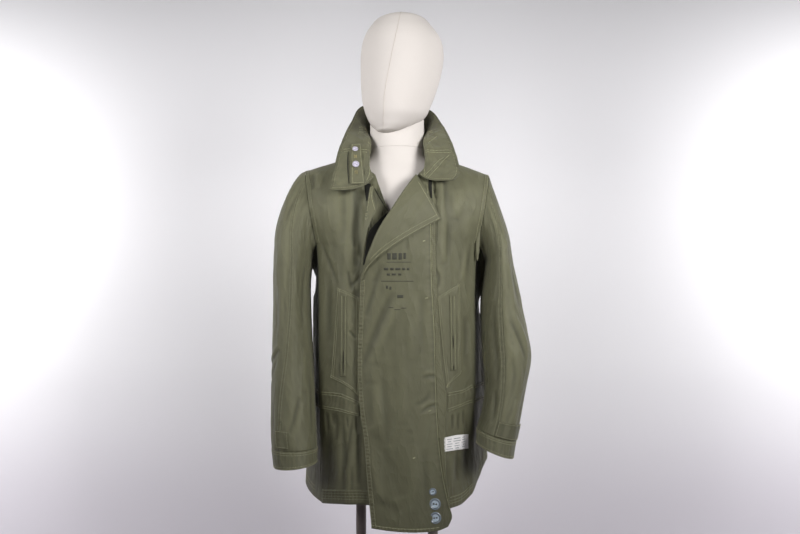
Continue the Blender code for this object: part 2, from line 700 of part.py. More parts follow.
# name: panel, upper edge, lower edge in (x, z), columns, rows
TRIMS = {
    "waist_casing_front_right": (
        "right",
        ((-0.157, 0.537), (-0.112, 0.536), (-0.078, 0.521)),
        ((-0.157, 0.500), (-0.112, 0.497), (-0.078, 0.490)),
        8, 1,
    ),
    "waist_casing_front_left": (
        "left",
        ((0.105, 0.540), (0.146, 0.546), (0.158, 0.552)),
        ((0.105, 0.499), (0.146, 0.510), (0.158, 0.512)),
        5, 1,
    ),
    "pocket_right": (
        "right",
        ((-0.124, 0.758), (-0.098, 0.748), (-0.077, 0.736)),
        ((-0.138, 0.567), (-0.102, 0.551), (-0.079, 0.532)),
        5, 6,
    ),
    "pocket_left": (
        "left",
        ((0.082, 0.738), (0.106, 0.753), (0.132, 0.767)),
        ((0.102, 0.546), (0.112, 0.560), (0.133, 0.575)),
        5, 6,
    ),
}


def panel_place(panel):
    return right_front_place if panel == "right" else front_place


def front_trims():
    for node, (panel, upper, lower, columns, rows) in TRIMS.items():
        top = along(upper, columns)
        bottom = along(lower, columns)
        left = np.linspace(top[0], bottom[0], rows + 1)
        right = np.linspace(top[-1], bottom[-1], rows + 1)
        cloth(node, on_panel(panel_place(panel), left, right, top, bottom, TRIM_LIFT), TRIM_WALL)


# name: panel, middle x at the top and foot, half width, z of top and foot
WELTS = {
    "pocket_welt_right": ("right", -0.1085, -0.1100, 0.0055, 0.742, 0.572),
    "pocket_welt_left": ("left", 0.1130, 0.1160, 0.0055, 0.742, 0.584),
}
WELT_STEPS = 6
WELT_LIFT = TRIM_LIFT + LAYER_GAP + TRIM_WALL


def welts():
    for node, (panel, x_top, x_foot, half, z_top, z_foot) in WELTS.items():
        left = np.linspace((x_top - half, z_top), (x_foot - half, z_foot), WELT_STEPS + 1)
        right = left + (2 * half, 0)
        top = np.linspace(left[0], right[0], 3)
        bottom = np.linspace(left[-1], right[-1], 3)
        cloth(node, on_panel(panel_place(panel), left, right, top, bottom, WELT_LIFT), TRIM_WALL)


BACK_CASING_TOP = 0.543
BACK_CASING_TILT = 0.006
BACK_CASING_HEIGHT = 0.038
BACK_CASING_REACH = 0.985
BACK_CASING_COLUMNS = 40


def back_casing():
    a = np.linspace(-BACK_CASING_REACH, BACK_CASING_REACH, BACK_CASING_COLUMNS + 1)[None, :]
    down = np.array([[0.0], [1.0]])
    z = BACK_CASING_TOP + BACK_CASING_TILT * a - BACK_CASING_HEIGHT * down
    grid = back_place(*np.broadcast_arrays(a, z))
    cloth("waist_casing_back", moved_out(grid, TRIM_LIFT, BODY_CORE), TRIM_WALL)


LABEL_TOP = ((0.096, 0.447), (0.124, 0.449), (0.151, 0.446))
LABEL_FOOT = ((0.097, 0.418), (0.124, 0.418), (0.151, 0.416))


def label():
    """The plain white label, sewn level on the left front's skirt."""
    top = along(LABEL_TOP, 3)
    bottom = along(LABEL_FOOT, 3)
    left = np.linspace(top[0], bottom[0], 3)
    right = np.linspace(top[-1], bottom[-1], 3)
    cloth("label", on_panel(front_place, left, right, top, bottom, TRIM_LIFT), TRIM_WALL, "label")


# The throat tab on the right leaf: share and s at its upper and lower ends.
THROAT_TAB = {"upper": (0.209, 0.79), "lower": (0.006, 0.52), "half_width": 0.0115}
THROAT_TAB_LIFT = COLLAR_WALL / 2 + 3 * LAYER_GAP + TRIM_WALL / 2


def throat_tab_point(t, side):
    """A place on the collar under the tab: t runs down it, side from -1 to 1 across."""
    upper = np.array(THROAT_TAB["upper"])
    lower = np.array(THROAT_TAB["lower"])
    share = upper[0] + (lower[0] - upper[0]) * t
    s = upper[1] + (lower[1] - upper[1]) * t
    step = 0.01
    beside = collar_point(share, s + step) - collar_point(share, s - step)
    per_metre = 2 * step / np.linalg.norm(beside, axis=-1)
    return collar_point(share, s + side * THROAT_TAB["half_width"] * per_metre)


def throat_tab():
    t = np.linspace(0, 1, 6)[:, None]
    side = np.linspace(-1, 1, 4)[None, :]
    grid = throat_tab_point(t, side)
    cloth("throat_tab", grid + forward_normals(grid) * THROAT_TAB_LIFT, TRIM_WALL)


# ------------------------------------------------------------------- buttons
BUTTON_SIDES = 16
BUTTON_PROFILE = (
    # share of the radius, share of the thickness
    (0.0, 0.0), (0.80, 0.0), (1.0, 0.35), (1.0, 0.80),
    (0.90, 1.0), (0.72, 0.95), (0.62, 0.62), (0.0, 0.55),
)


def button(node, centre, outward, radius, thickness, finish):
    """A turned button with a raised rim, its back at centre."""
    profile = [(radius * r, 0, thickness * h) for r, h in BUTTON_PROFILE]
    mesh = bpy.data.meshes.new(node)
    mesh.from_pydata(profile, [(i, i + 1) for i in range(len(profile) - 1)], [])
    made = bpy.data.objects.new(node, mesh)
    made.data.materials.append(material(node, finish))
    bpy.data.collections[COLLECTION].objects.link(made)
    turn = made.modifiers.new("turned", "SCREW")
    turn.steps = BUTTON_SIDES
    turn.render_steps = BUTTON_SIDES
    turn.use_merge_vertices = True
    turn.merge_threshold = 0.0001
    turn.use_normal_calculate = True
    made.location = centre
    made.rotation_euler = Vector(outward).to_track_quat("Z", "Y").to_euler()


OVERLAP_BUTTONS = (
    # x, z, radius, thickness
    (0.0730, 0.3455, 0.0075, 0.0028),
    (0.0772, 0.3205, 0.0120, 0.0034),
    (0.0782, 0.2930, 0.0120, 0.0034),
)
OVERLAP_BUTTON_LIFT = CLOTH_WALL / 2 + 2 * LAYER_GAP


def overlap_buttons():
    reach = np.array([-0.002, 0.002])
    for number, (x, z, radius, thickness) in enumerate(OVERLAP_BUTTONS, 1):
        grid = overlap_place(*np.meshgrid(x + reach, z - reach))
        outward = forward_normals(grid).mean(axis=(0, 1))
        centre = overlap_place(np.array(x), np.array(z)) + outward * OVERLAP_BUTTON_LIFT
        button(f"button_overlap_{number}", centre, outward, radius, thickness, "button_blue")


COLLAR_BUTTONS = (
    # t down the tab, radius, thickness
    (0.19, 0.0062, 0.0025),
    (0.58, 0.0075, 0.0028),
)
COLLAR_BUTTON_LIFT = THROAT_TAB_LIFT + TRIM_WALL / 2 + 3 * LAYER_GAP


def collar_buttons():
    down = np.array([[-0.05], [0.05]])
    across = np.array([[-0.3, 0.3]])
    for number, (t, radius, thickness) in enumerate(COLLAR_BUTTONS, 1):
        outward = forward_normals(throat_tab_point(t + down, across)).mean(axis=(0, 1))
        centre = throat_tab_point(np.array(t), np.array(0.0)) + outward * COLLAR_BUTTON_LIFT
        button(f"button_collar_{number}", centre, outward, radius, thickness, "button_pale")


# --------------------------------------------------------- dress form and stand
RING_POINTS = 32
TORSO = (
    # z, half width, front y, back y
    (0.420, 0.140, -0.080, 0.090),
    (0.500, 0.148, -0.084, 0.096),
    (0.600, 0.132, -0.080, 0.084),
    (0.700, 0.134, -0.084, 0.088),
    (0.800, 0.142, -0.088, 0.098),
    (0.880, 0.148, -0.082, 0.104),
    (0.930, 0.152, -0.075, 0.100),
    (0.965, 0.148, -0.066, 0.088),
    (0.990, 0.138, -0.060, 0.074),
    (1.008, 0.116, -0.058, 0.066),
    (1.022, 0.088, -0.058, 0.062),
    (1.036, 0.068, -0.058, 0.059),
    (1.056, 0.0585, -0.0585, 0.0585),
)
# Rings wider than this are squarer than an ellipse, by the power that follows.
TORSO_SQUARE_FROM = 0.1
TORSO_SQUARE = 0.88
NECK_RADIUS = 0.0585
NECK_TOP_SHARES = (1.0, 0.85, 0.7, 0.5, 0.25)
# The egg head, turned a little to the wearer's right.
HEAD = (
    # z, middle x, middle y, half width, half depth
    (1.0870, -0.021, -0.032, 0.0100, 0.0120),
    (1.0920, -0.018, -0.028, 0.0300, 0.0360),
    (1.1030, -0.010, -0.022, 0.0480, 0.0600),
    (1.1190, -0.003, -0.016, 0.0610, 0.0760),
    (1.1460, 0.000, -0.012, 0.0725, 0.0880),
    (1.1860, 0.005, -0.008, 0.0825, 0.0970),
    (1.2200, 0.009, -0.005, 0.0875, 0.1010),
    (1.2620, 0.0115, -0.003, 0.0895, 0.1020),
    (1.2910, 0.011, -0.001, 0.0840, 0.0960),
    (1.3180, 0.009, 0.000, 0.0680, 0.0780),
    (1.3415, 0.009, 0.000, 0.0410, 0.0470),
    (1.3500, 0.009, 0.000, 0.0160, 0.0180),
)
HEAD_STEPS = 22
UNDERSIDE_TOP = 1.19
CHIN_GAP = 0.0045
POST_X = 0.078
POST_RADIUS = 0.011
PLATE_RADIUS = 0.170
PLATE_THICKNESS = 0.012


def form_torso():
    turn = np.linspace(0, 2 * np.pi, RING_POINTS, endpoint=False)
    rings = []
    for z, half, front, behind in TORSO:
        middle = (front + behind) / 2
        depth = (behind - front) / 2
        square = TORSO_SQUARE if half > TORSO_SQUARE_FROM else 1.0
        x = half * np.sign(np.cos(turn)) * np.abs(np.cos(turn)) ** square
        y = middle + depth * np.sign(np.sin(turn)) * np.abs(np.sin(turn)) ** square
        rings.append(np.column_stack([x, y, np.full(RING_POINTS, z)]))
    closed_loft("form_torso", rings, "linen")


def head_underside(x, y):
    """Height of the head's underside over a place, from its level sections."""
    z = np.linspace(HEAD[0][0], UNDERSIDE_TOP, 200)
    middle_x, middle_y, half_width, half_depth = smooth_rows(HEAD, z).T
    reach = ((x[:, None] - middle_x) / half_width) ** 2 + ((y[:, None] - middle_y) / half_depth) ** 2
    return z[np.argmax(reach <= 1, axis=1)]


def form_neck():
    """The neck, whose top follows the underside of the head."""
    turn = np.linspace(0, 2 * np.pi, RING_POINTS, endpoint=False)
    x = NECK_RADIUS * np.cos(turn)
    y = NECK_RADIUS * np.sin(turn)
    rings = [np.column_stack([x, y, np.full(RING_POINTS, TORSO[-1][0] + SOLID_GAP)])]
    for share in NECK_TOP_SHARES:
        x = NECK_RADIUS * share * np.cos(turn)
        y = NECK_RADIUS * share * np.sin(turn)
        rings.append(np.column_stack([x, y, head_underside(x, y) - CHIN_GAP]))
    closed_loft("form_neck", rings, "linen")


def form_head():
    turn = np.linspace(0, 2 * np.pi, RING_POINTS, endpoint=False)
    z = along([(row[0], row[3]) for row in HEAD], HEAD_STEPS)[:, 0]
    rings = []
    for height, (middle_x, middle_y, half_width, half_depth) in zip(z, smooth_rows(HEAD, z)):
        x = middle_x + half_width * np.cos(turn)
        y = middle_y + half_depth * np.sin(turn)
        rings.append(np.column_stack([x, y, np.full(RING_POINTS, height)]))
    closed_loft("form_head", rings, "linen")


def cylinder(node, centre, radius, height, segments, bevel):
    bpy.ops.mesh.primitive_cylinder_add(vertices=segments, radius=radius, depth=height, location=centre)
    made = bpy.context.active_object
    made.name = node
    made.data.name = node
    made.data.materials.append(material(node, "steel"))
    for owner in list(made.users_collection):
        owner.objects.unlink(made)
    bpy.data.collections[COLLECTION].objects.link(made)
    if bevel:
        rounding = made.modifiers.new("edge", "BEVEL")
        rounding.width = bevel
        rounding.segments = 2


def stand():
    cylinder("stand_base", (0, 0, PLATE_THICKNESS / 2), PLATE_RADIUS, PLATE_THICKNESS, 64, 0.003)
    low = PLATE_THICKNESS + SOLID_GAP
    high = TORSO[0][0] - SOLID_GAP
    for side, sign in (("right", -1), ("left", 1)):
        centre = (sign * POST_X, 0, (low + high) / 2)
        cylinder(f"stand_post_{side}", centre, POST_RADIUS, high - low, 24, 0)


# ---------------------------------------------------------------------- build


def build():
    for old in list(bpy.data.objects):
        bpy.data.objects.remove(old, do_unlink=True)
    bpy.context.scene.collection.children.link(bpy.data.collections.new(COLLECTION))
    front_right()
    front_left()
    overlap_panel()
    back()
    for side in ("right", "left"):
        sleeve(side)
        cuff_tab(side)
    collar()
    lapel_left()
    strip_right()
    front_trims()
    welts()
    back_casing()
    label()
    throat_tab()
    overlap_buttons()
    collar_buttons()
    form_torso()
    form_neck()
    form_head()
    stand()


build()
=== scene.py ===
"""Windbreaker on a limbless dress form: how every surface looks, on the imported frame.

Metres, +Z up, the garment's front towards -Y. "Right" and "left" are the
wearer's own sides, so the right sleeve is at -X. Cloth pieces are thin walls
over grids of places. Each takes the form of its solid and adds the folds,
the seams and the stitches.
"""

import math

import bmesh
import bpy
import numpy as np
from mathutils import Matrix, Vector


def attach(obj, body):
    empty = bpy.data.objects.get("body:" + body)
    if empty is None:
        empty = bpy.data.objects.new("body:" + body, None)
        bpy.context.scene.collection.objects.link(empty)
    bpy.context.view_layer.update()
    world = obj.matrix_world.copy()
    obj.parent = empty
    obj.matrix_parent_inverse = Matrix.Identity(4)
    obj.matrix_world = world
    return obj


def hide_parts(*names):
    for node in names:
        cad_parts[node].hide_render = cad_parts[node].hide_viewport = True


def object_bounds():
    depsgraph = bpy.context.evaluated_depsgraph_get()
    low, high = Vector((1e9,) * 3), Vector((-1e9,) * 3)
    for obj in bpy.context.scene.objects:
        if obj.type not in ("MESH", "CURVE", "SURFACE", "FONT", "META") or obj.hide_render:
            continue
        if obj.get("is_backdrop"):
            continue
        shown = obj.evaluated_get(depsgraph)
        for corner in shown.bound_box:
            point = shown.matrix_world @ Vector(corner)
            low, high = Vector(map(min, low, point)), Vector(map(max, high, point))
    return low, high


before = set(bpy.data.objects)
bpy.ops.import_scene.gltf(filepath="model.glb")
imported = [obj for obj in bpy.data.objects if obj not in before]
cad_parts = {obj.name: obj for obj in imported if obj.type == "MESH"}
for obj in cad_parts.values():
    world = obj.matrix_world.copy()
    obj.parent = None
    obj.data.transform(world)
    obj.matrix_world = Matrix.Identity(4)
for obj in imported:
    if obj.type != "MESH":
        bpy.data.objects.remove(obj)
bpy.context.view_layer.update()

# === the stand
# Two satin brown steel tubes carry the form. They stand in a round turned
# plate of the same steel, whose upper edge is rounded over.
PLATE_RADIUS = 0.17
PLATE_THICKNESS = 0.012
PLATE_EDGE = 0.003
POST_X = 0.078
POST_RADIUS = 0.011
POST_TOP = 0.4196
POST_FOOT = 0.0124
POST_COLLAR_RADIUS = 0.0176
POST_COLLAR_HEIGHT = 0.016
POST_COLLAR_SLOPE = 0.002


def fill(node, **values):
    """Sets a node's own settings, or its input sockets by their names in words or by number."""
    for key, value in values.items():
        words = key.replace("_", " ")
        if hasattr(node, key):
            setattr(node, key, value)
        elif key.startswith("input_"):
            node.inputs[int(key[-1])].default_value = value
        else:
            node.inputs[words if words in node.inputs else words.title()].default_value = value


def node_tools(tree, **nodes):
    """Two functions for a node tree: one adds a named node, the other wires named nodes."""
    def add(name, kind, **values):
        nodes[name] = tree.nodes.new(kind)
        fill(nodes[name], **values)
        return nodes[name]

    def wire(*routes):
        """Joins an output to an input for each route, which reads "node.output > node.input"."""
        for route in routes:
            ends = [end.rsplit(".", 1) for end in route.split(" > ")]
            (source, output), (target, taken) = [(n, int(k) if k.isdigit() else k) for n, k in ends]
            tree.links.new(nodes[source].outputs[output], nodes[target].inputs[taken])

    return add, wire


def node_material(name):
    """A new material, its Principled shader and the two functions for its node tree."""
    made = bpy.data.materials.new(name)
    made.use_nodes = True
    shader = made.node_tree.nodes["Principled BSDF"]
    return made, shader, *node_tools(made.node_tree, shader=shader)


def ramp(node, low, high, *between):
    """Sets a colour ramp's stops, each a position and a colour."""
    elements = node.color_ramp.elements
    for element, (position, colour) in zip(elements, (low, high)):
        element.position = position
        element.color = (*colour, 1)
    for position, colour in between:
        elements.new(position).color = (*colour, 1)


def steel_material():
    made, shader, add, wire = node_material("stand_steel")
    add("place", "ShaderNodeTexCoord")
    add("grain", "ShaderNodeTexNoise", scale=160.0, detail=4.0)
    add("patches", "ShaderNodeTexNoise", scale=14.0, detail=3.0)
    tone = add("tone", "ShaderNodeValToRGB")
    ramp(tone, (0.0, (0.13, 0.105, 0.095)), (1.0, (0.26, 0.225, 0.205)))
    add("rough", "ShaderNodeMapRange", To_Min=0.36, To_Max=0.55)
    add("bump", "ShaderNodeBump", strength=0.12, distance=0.0002)
    wire(
        "place.Object > grain.Vector", "place.Object > patches.Vector", "patches.Fac > tone.Fac",
        "tone.Color > shader.Base Color", "patches.Fac > rough.Value", "rough.Result > shader.Roughness",
        "grain.Fac > bump.Height", "bump.Normal > shader.Normal",
    )
    fill(shader, Metallic=0.6)
    return made


def surface_mesh(name, grid, closed=False):
    """A mesh over a grid of places, rows down and columns across, with a UV map in metres.

    closed joins the last column to the first.
    """
    rows, columns = grid.shape[:2]
    wide = np.concatenate([grid, grid[:, :1]], axis=1) if closed else grid
    across = np.linalg.norm(np.diff(wide, axis=1), axis=-1)
    down = np.linalg.norm(np.diff(wide, axis=0), axis=-1)
    u = np.cumsum(np.pad(across, ((0, 0), (1, 0))), axis=1)
    u = u - u[:, [u.shape[1] // 2]]
    v = -np.cumsum(np.pad(down, ((1, 0), (0, 0))), axis=0)
    flat = np.stack([u, v], axis=-1)
    row, column = np.meshgrid(np.arange(rows - 1), np.arange(wide.shape[1] - 1), indexing="ij")
    here = row * columns + column
    beside = row * columns + (column + 1) % columns
    faces = np.stack([here, here + columns, beside + columns, beside], axis=-1)
    corners = np.stack([flat[:-1, :-1], flat[1:, :-1], flat[1:, 1:], flat[:-1, 1:]], axis=2)
    mesh = bpy.data.meshes.new(name)
    mesh.from_pydata(grid.reshape(-1, 3).tolist(), [], faces.reshape(-1, 4).tolist())
    mesh.uv_layers.new(name="UVMap").data.foreach_set("uv", corners.astype(np.float32).ravel())
    mesh.shade_smooth()
    return mesh


def placed(name, data):
    """A new object in the scene."""
    made = bpy.data.objects.new(name, data)
    bpy.context.scene.collection.objects.link(made)
    return made


def new_piece(name, mesh, material, slot, *nodes):
    """Puts a mesh in the scene as a piece of the object, standing for CAD nodes if any are named."""
    piece = placed(name, mesh)
    piece.data.materials.append(material)
    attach(piece, "root")
    if nodes:
        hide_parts(*nodes)
    return piece


def full_turn(sides):
    return np.linspace(0, 2 * np.pi, sides, endpoint=False)


def turned_mesh(name, profile, sides, centre=(0.0, 0.0, 0.0)):
    """A solid of revolution about +Z from (radius, height) rows that begin and end on the axis."""
    turn = full_turn(sides)
    radius, height = np.array(profile, float).T
    grid = np.stack(np.broadcast_arrays(
        radius[:, None] * np.cos(turn), radius[:, None] * np.sin(turn), height[:, None]
    ), axis=-1) + np.array(centre)
    mesh = surface_mesh(name, grid, closed=True)
    weld_poles(mesh)
    return mesh


def weld_poles(mesh):
    """Joins the points that lie in one place, and turns the faces outwards."""
    shape = bmesh.new()
    shape.from_mesh(mesh)
    bmesh.ops.remove_doubles(shape, verts=shape.verts, dist=1e-5)
    bmesh.ops.recalc_face_normals(shape, faces=shape.faces)
    shape.to_mesh(mesh)
    shape.free()
    mesh.set_sharp_from_angle(angle=math.radians(50))


def rounded(radius, low, high, edge, steps=6):
    """Profile rows of a disc or tube whose upper edge has a radius."""
    turn = np.linspace(0, np.pi / 2, steps)
    over = [(radius - edge + edge * math.cos(t), high - edge + edge * math.sin(t)) for t in turn]
    return [(0, low), (radius, low), *over, (0, high)]


steel = steel_material()
plate = rounded(PLATE_RADIUS, 0.0, PLATE_THICKNESS, PLATE_EDGE)
new_piece("plate", turned_mesh("plate", plate, 128), steel, "stand_steel", "stand_base")
for side, sign in (("right", -1), ("left", 1)):
    collar_top = POST_FOOT + POST_COLLAR_HEIGHT
    post = [
        (0, POST_FOOT), (POST_COLLAR_RADIUS, POST_FOOT), (POST_COLLAR_RADIUS, collar_top),
        (POST_RADIUS, collar_top + POST_COLLAR_SLOPE), (POST_RADIUS, POST_TOP), (0, POST_TOP),
    ]
    tube = turned_mesh(f"post_{side}", post, 48, (sign * POST_X, 0, 0))
    new_piece(f"post_{side}", tube, steel, "stand_steel", f"stand_post_{side}")

# === the dress form
# A limbless padded form with a plain egg head, all covered in cream linen.
# The cover has a seam over the crown and down the face, and one at the neck.
TORSO = (
    # z, half width, front y, back y
    (0.42, 0.14, -0.08, 0.09),
    (0.5, 0.148, -0.084, 0.096),
    (0.6, 0.132, -0.08, 0.084),
    (0.7, 0.134, -0.084, 0.088),
    (0.8, 0.142, -0.088, 0.098),
    (0.88, 0.148, -0.082, 0.104),
    (0.93, 0.152, -0.075, 0.1),
    (0.965, 0.148, -0.066, 0.088),
    (0.99, 0.138, -0.06, 0.074),
    (1.008, 0.116, -0.058, 0.066),
    (1.022, 0.088, -0.058, 0.062),
    (1.036, 0.068, -0.058, 0.059),
    (1.056, 0.0585, -0.0585, 0.0585),
)
TORSO_SQUARE = 0.88
# Between these heights the torso's squarish sections turn into round ones.
TORSO_ROUNDING = (0.99, 1.03)
TORSO_RINGS = 120
HEAD_RINGS = 90
FORM_SIDES = 128
NECK_RADIUS = 0.0585
NECK_FOOT = 1.0564
NECK_SIDES = 96
NECK_WALL_RINGS = 24
NECK_CAP_RINGS = 11
HEAD = (
    # z, middle x, middle y, half width, half depth
    (1.085, -0.0195, -0.05, 0.006, 0.008),
    (1.088, -0.018, -0.046, 0.019, 0.022),
    (1.096, -0.012, -0.036, 0.035, 0.042),
    (1.108, -0.0065, -0.024, 0.051, 0.062),
    (1.123, -0.002, -0.016, 0.063, 0.0785),
    (1.146, 0.000, -0.012, 0.0725, 0.088),
    (1.186, 0.005, -0.008, 0.0825, 0.097),
    (1.22, 0.009, -0.005, 0.0875, 0.101),
    (1.262, 0.0115, -0.003, 0.0895, 0.102),
    (1.291, 0.011, -0.001, 0.084, 0.096),
    (1.318, 0.009, 0.000, 0.068, 0.078),
    (1.3415, 0.009, 0.000, 0.041, 0.047),
    (1.35, 0.009, 0.000, 0.016, 0.018),
)


def smooth_rows(table, at):
    """A table's other columns at values of its first one, on smooth curves."""
    rows = np.array(table, float)
    knots = rows[:, 0]
    values = rows[:, 1:]
    slopes = np.gradient(values, knots, axis=0)
    at = np.clip(np.asarray(at, float), knots[0], knots[-1])
    index = np.clip(np.searchsorted(knots, at, side="right") - 1, 0, len(knots) - 2)
    width = (knots[index + 1] - knots[index])[..., None]
    t = (at - knots[index])[..., None] / width
    start = values[index] * (2 * t**3 - 3 * t**2 + 1)
    start_slope = slopes[index] * (t**3 - 2 * t**2 + t) * width
    end = values[index + 1] * (3 * t**2 - 2 * t**3)
    end_slope = slopes[index + 1] * (t**3 - t**2) * width
    return start + start_slope + end + end_slope


def columns_at(table, at):
    """The same values as smooth_rows, one array for each column."""
    return np.moveaxis(smooth_rows(table, at), -1, 0)


def run_along(points):
    """The way from the first point to each one."""
    return np.concatenate([[0.0], np.cumsum(np.linalg.norm(np.diff(points, axis=0), axis=-1))])


# How much paler than its surroundings a ridge is, and how much darker a crease: faded dye on worn ridges,
# painted highlight on them, and painted shade in the creases.
FADE_AND_SHADE = 0.24


def fabric_material(name, colour, roughness, weave, sheen=0.0, mottle=0.08, relief=0.0002, crumple=0.0):
    """A plain-woven cloth: two sets of threads on the piece's own UV, in metres, with soft patches.

    crumple is the height in metres of the small sharp creases that long use leaves in it; creases are painted
    darker as shade, and ridges paler as wear with highlight.
    """
    made, shader, add, wire = node_material(name)
    add("place", "ShaderNodeUVMap", uv_map="UVMap")
    add("split", "ShaderNodeSeparateXYZ")
    wire("place.UV > split.Vector")
    for axis in "XY":
        add("turn", "ShaderNodeMath", operation="MULTIPLY", input_1=math.pi / weave)
        add(f"threads {axis}", "ShaderNodeMath", operation="SINE")
        wire(f"split.{axis} > turn.0", f"turn.0 > threads {axis}.0")
    add("crossing", "ShaderNodeMath", operation="MULTIPLY")
    add("slubs", "ShaderNodeTexNoise", scale=420.0, detail=5.0, roughness=0.65)
    add("patches", "ShaderNodeTexNoise", scale=7.0, detail=6.0, roughness=0.6)
    add("height", "ShaderNodeMath", operation="MULTIPLY_ADD", input_1=0.5)
    add("bump", "ShaderNodeBump", strength=0.35, distance=relief)
    add("upright", "ShaderNodeMapping", Scale=(1.5, 0.6, 1.0))
    creases = add("creases", "ShaderNodeTexNoise", scale=26.0, detail=5.0, roughness=0.55)
    fill(creases, noise_type="RIDGED_MULTIFRACTAL", Offset=1.0)
    add("creased", "ShaderNodeBump", strength=1.0, distance=crumple)
    add("blend", "ShaderNodeMath", operation="MULTIPLY_ADD", input_1=0.35)
    darker, paler = ([channel * (1 + change) for channel in colour] for change in (-mottle, mottle))
    ramp(add("tone", "ShaderNodeValToRGB"), (0.4, darker), (0.95, paler))
    # Painted shade and highlight: a point attribute darkens the colour in creases and pales it on ridges,
    # partly as faded wear.
    add("wear", "ShaderNodeAttribute", attribute_name="wear")
    add("fade", "ShaderNodeMath", operation="MULTIPLY_ADD", input_1=FADE_AND_SHADE, input_2=1.0)
    add("faded", "ShaderNodeVectorMath", operation="SCALE")
    wire(
        "threads X.0 > crossing.0", "threads Y.0 > crossing.1", "place.UV > slubs.Vector",
        "place.UV > patches.Vector", "crossing.0 > height.0", "slubs.Fac > height.2",
        "height.0 > bump.Height", "place.UV > upright.Vector", "upright.Vector > creases.Vector",
        "creases.Fac > creased.Height",
        "creased.Normal > bump.Normal", "bump.Normal > shader.Normal", "slubs.Fac > blend.0",
        "patches.Fac > blend.2", "blend.0 > tone.Fac", "wear.Fac > fade.0", "tone.Color > faded.Vector",
        "fade.0 > faded.Scale", "faded.Vector > shader.Base Color",
    )
    fill(shader, Roughness=roughness, Sheen_Weight=sheen, Sheen_Roughness=0.5, Specular_IOR_Level=0.35)
    return made


def ring_grid(rings, sides, square=1.0):
    """A grid of level rings from rows of z, middle x, middle y, half width and half depth."""
    turn = full_turn(sides)
    z, middle_x, middle_y, half_x, half_y = (column[:, None] for column in np.array(rings).T)
    cos = np.sign(np.cos(turn)) * np.abs(np.cos(turn)) ** square
    sin = np.sign(np.sin(turn)) * np.abs(np.sin(turn)) ** square
    return np.stack([middle_x + half_x * cos, middle_y + half_y * sin, z + 0 * turn], axis=-1)


def closed_rings(name, grid):
    """A closed mesh through rings, with a pole at each end."""
    poles = [np.repeat(ring.mean(axis=0)[None], len(ring), axis=0) for ring in (grid[0], grid[-1])]
    mesh = surface_mesh(name, np.concatenate([poles[0][None], grid, poles[1][None]]), closed=True)
    weld_poles(mesh)
    return mesh


def even_heights(table, count):
    """Heights spaced by the outline's own length, so that a crown gets as many rings as a side."""
    dense = np.linspace(table[0][0], table[-1][0], 800)
    run = run_along(np.column_stack([dense, smooth_rows(table, dense)[:, -1]]))
    return np.interp(np.linspace(0, run[-1], count), run, dense)


linen = fabric_material("form_linen", (0.68, 0.632, 0.595), 0.85, 0.0007, mottle=0.025, relief=0.00012)
linen_seam = fabric_material("form_linen_seam", (0.59, 0.53, 0.48), 0.9, 0.0007, mottle=0.03)

torso_z = np.linspace(TORSO[0][0], TORSO[-1][0], TORSO_RINGS)
half, front, behind = columns_at(TORSO, torso_z)
torso_rings = np.column_stack([torso_z, 0 * half, (front + behind) / 2, half, (behind - front) / 2])
torso = ring_grid(torso_rings, FORM_SIDES, TORSO_SQUARE)
round_top = ring_grid(torso_rings, FORM_SIDES)
round_from, round_to = TORSO_ROUNDING
topward = np.clip((torso_z - round_from) / (round_to - round_from), 0, 1)[:, None, None]
torso = torso * (1 - topward) + round_top * topward
new_piece("torso_cover", closed_rings("torso_cover", torso), linen, "form_linen", "form_torso")

head_z = even_heights(HEAD, HEAD_RINGS)
head = ring_grid(np.column_stack([head_z, smooth_rows(HEAD, head_z)]), FORM_SIDES)
new_piece("head_cover", closed_rings("head_cover", head), linen, "form_linen", "form_head")


def head_underside(x, y):
    """Height of the head's underside over a place, from its level sections."""
    z = np.linspace(HEAD[0][0], 1.19, 400)
    middle_x, middle_y, half_width, half_depth = columns_at(HEAD, z)
    reach = ((x[..., None] - middle_x) / half_width) ** 2 + ((y[..., None] - middle_y) / half_depth) ** 2
    return z[np.argmax(reach <= 1, axis=-1)]


neck_turn = full_turn(NECK_SIDES)
neck_shares = np.concatenate([np.ones(NECK_WALL_RINGS), np.linspace(1, 0.1, NECK_CAP_RINGS + 1)[1:]])
neck_x = NECK_RADIUS * neck_shares[:, None] * np.cos(neck_turn)
neck_y = NECK_RADIUS * neck_shares[:, None] * np.sin(neck_turn)
neck_top = head_underside(neck_x, neck_y) - 0.001
climb = np.minimum(np.arange(len(neck_shares)) / (NECK_WALL_RINGS - 1), 1)[:, None]
neck = np.stack([neck_x, neck_y, NECK_FOOT + (neck_top - NECK_FOOT) * climb], axis=-1)
new_piece("neck_cover", closed_rings("neck_cover", neck), linen, "form_linen", "form_neck")


def tube_mesh(name, path, radius, sides=8):
    """A closed round tube along a path of places."""
    path = np.array(path, float)
    tangent = np.gradient(path, axis=0)
    tangent /= np.linalg.norm(tangent, axis=1, keepdims=True)
    side = np.cross(tangent, (0.3, 1.0, 0.2))
    side /= np.linalg.norm(side, axis=1, keepdims=True)
    up = np.cross(tangent, side)
    turn = full_turn(sides)[None, :, None]
    grid = path[:, None] + radius * (np.cos(turn) * side[:, None] + np.sin(turn) * up[:, None])
    return closed_rings(name, grid)


# The face seam runs from the crown, a little to the wearer's right, down to under the chin.
FACE_SEAM = ((1.3495, 0.25), (1.315, 0.262), (1.262, 0.282), (1.186, 0.302), (1.119, 0.318), (1.0905, 0.33))
FACE_SEAM_RADIUS = 0.0006
seam_rows = sorted(FACE_SEAM)
seam_z = np.linspace(seam_rows[0][0], seam_rows[-1][0], 90)
seam_turn = -2 * np.pi * smooth_rows(seam_rows, seam_z)[:, 0]
middle_x, middle_y, half_width, half_depth = columns_at(HEAD, seam_z)
face_seam = np.column_stack([
    middle_x + half_width * np.cos(seam_turn), middle_y + half_depth * np.sin(seam_turn), seam_z,
])
new_piece("face_seam", tube_mesh("face_seam", face_seam, FACE_SEAM_RADIUS), linen_seam, "form_linen")

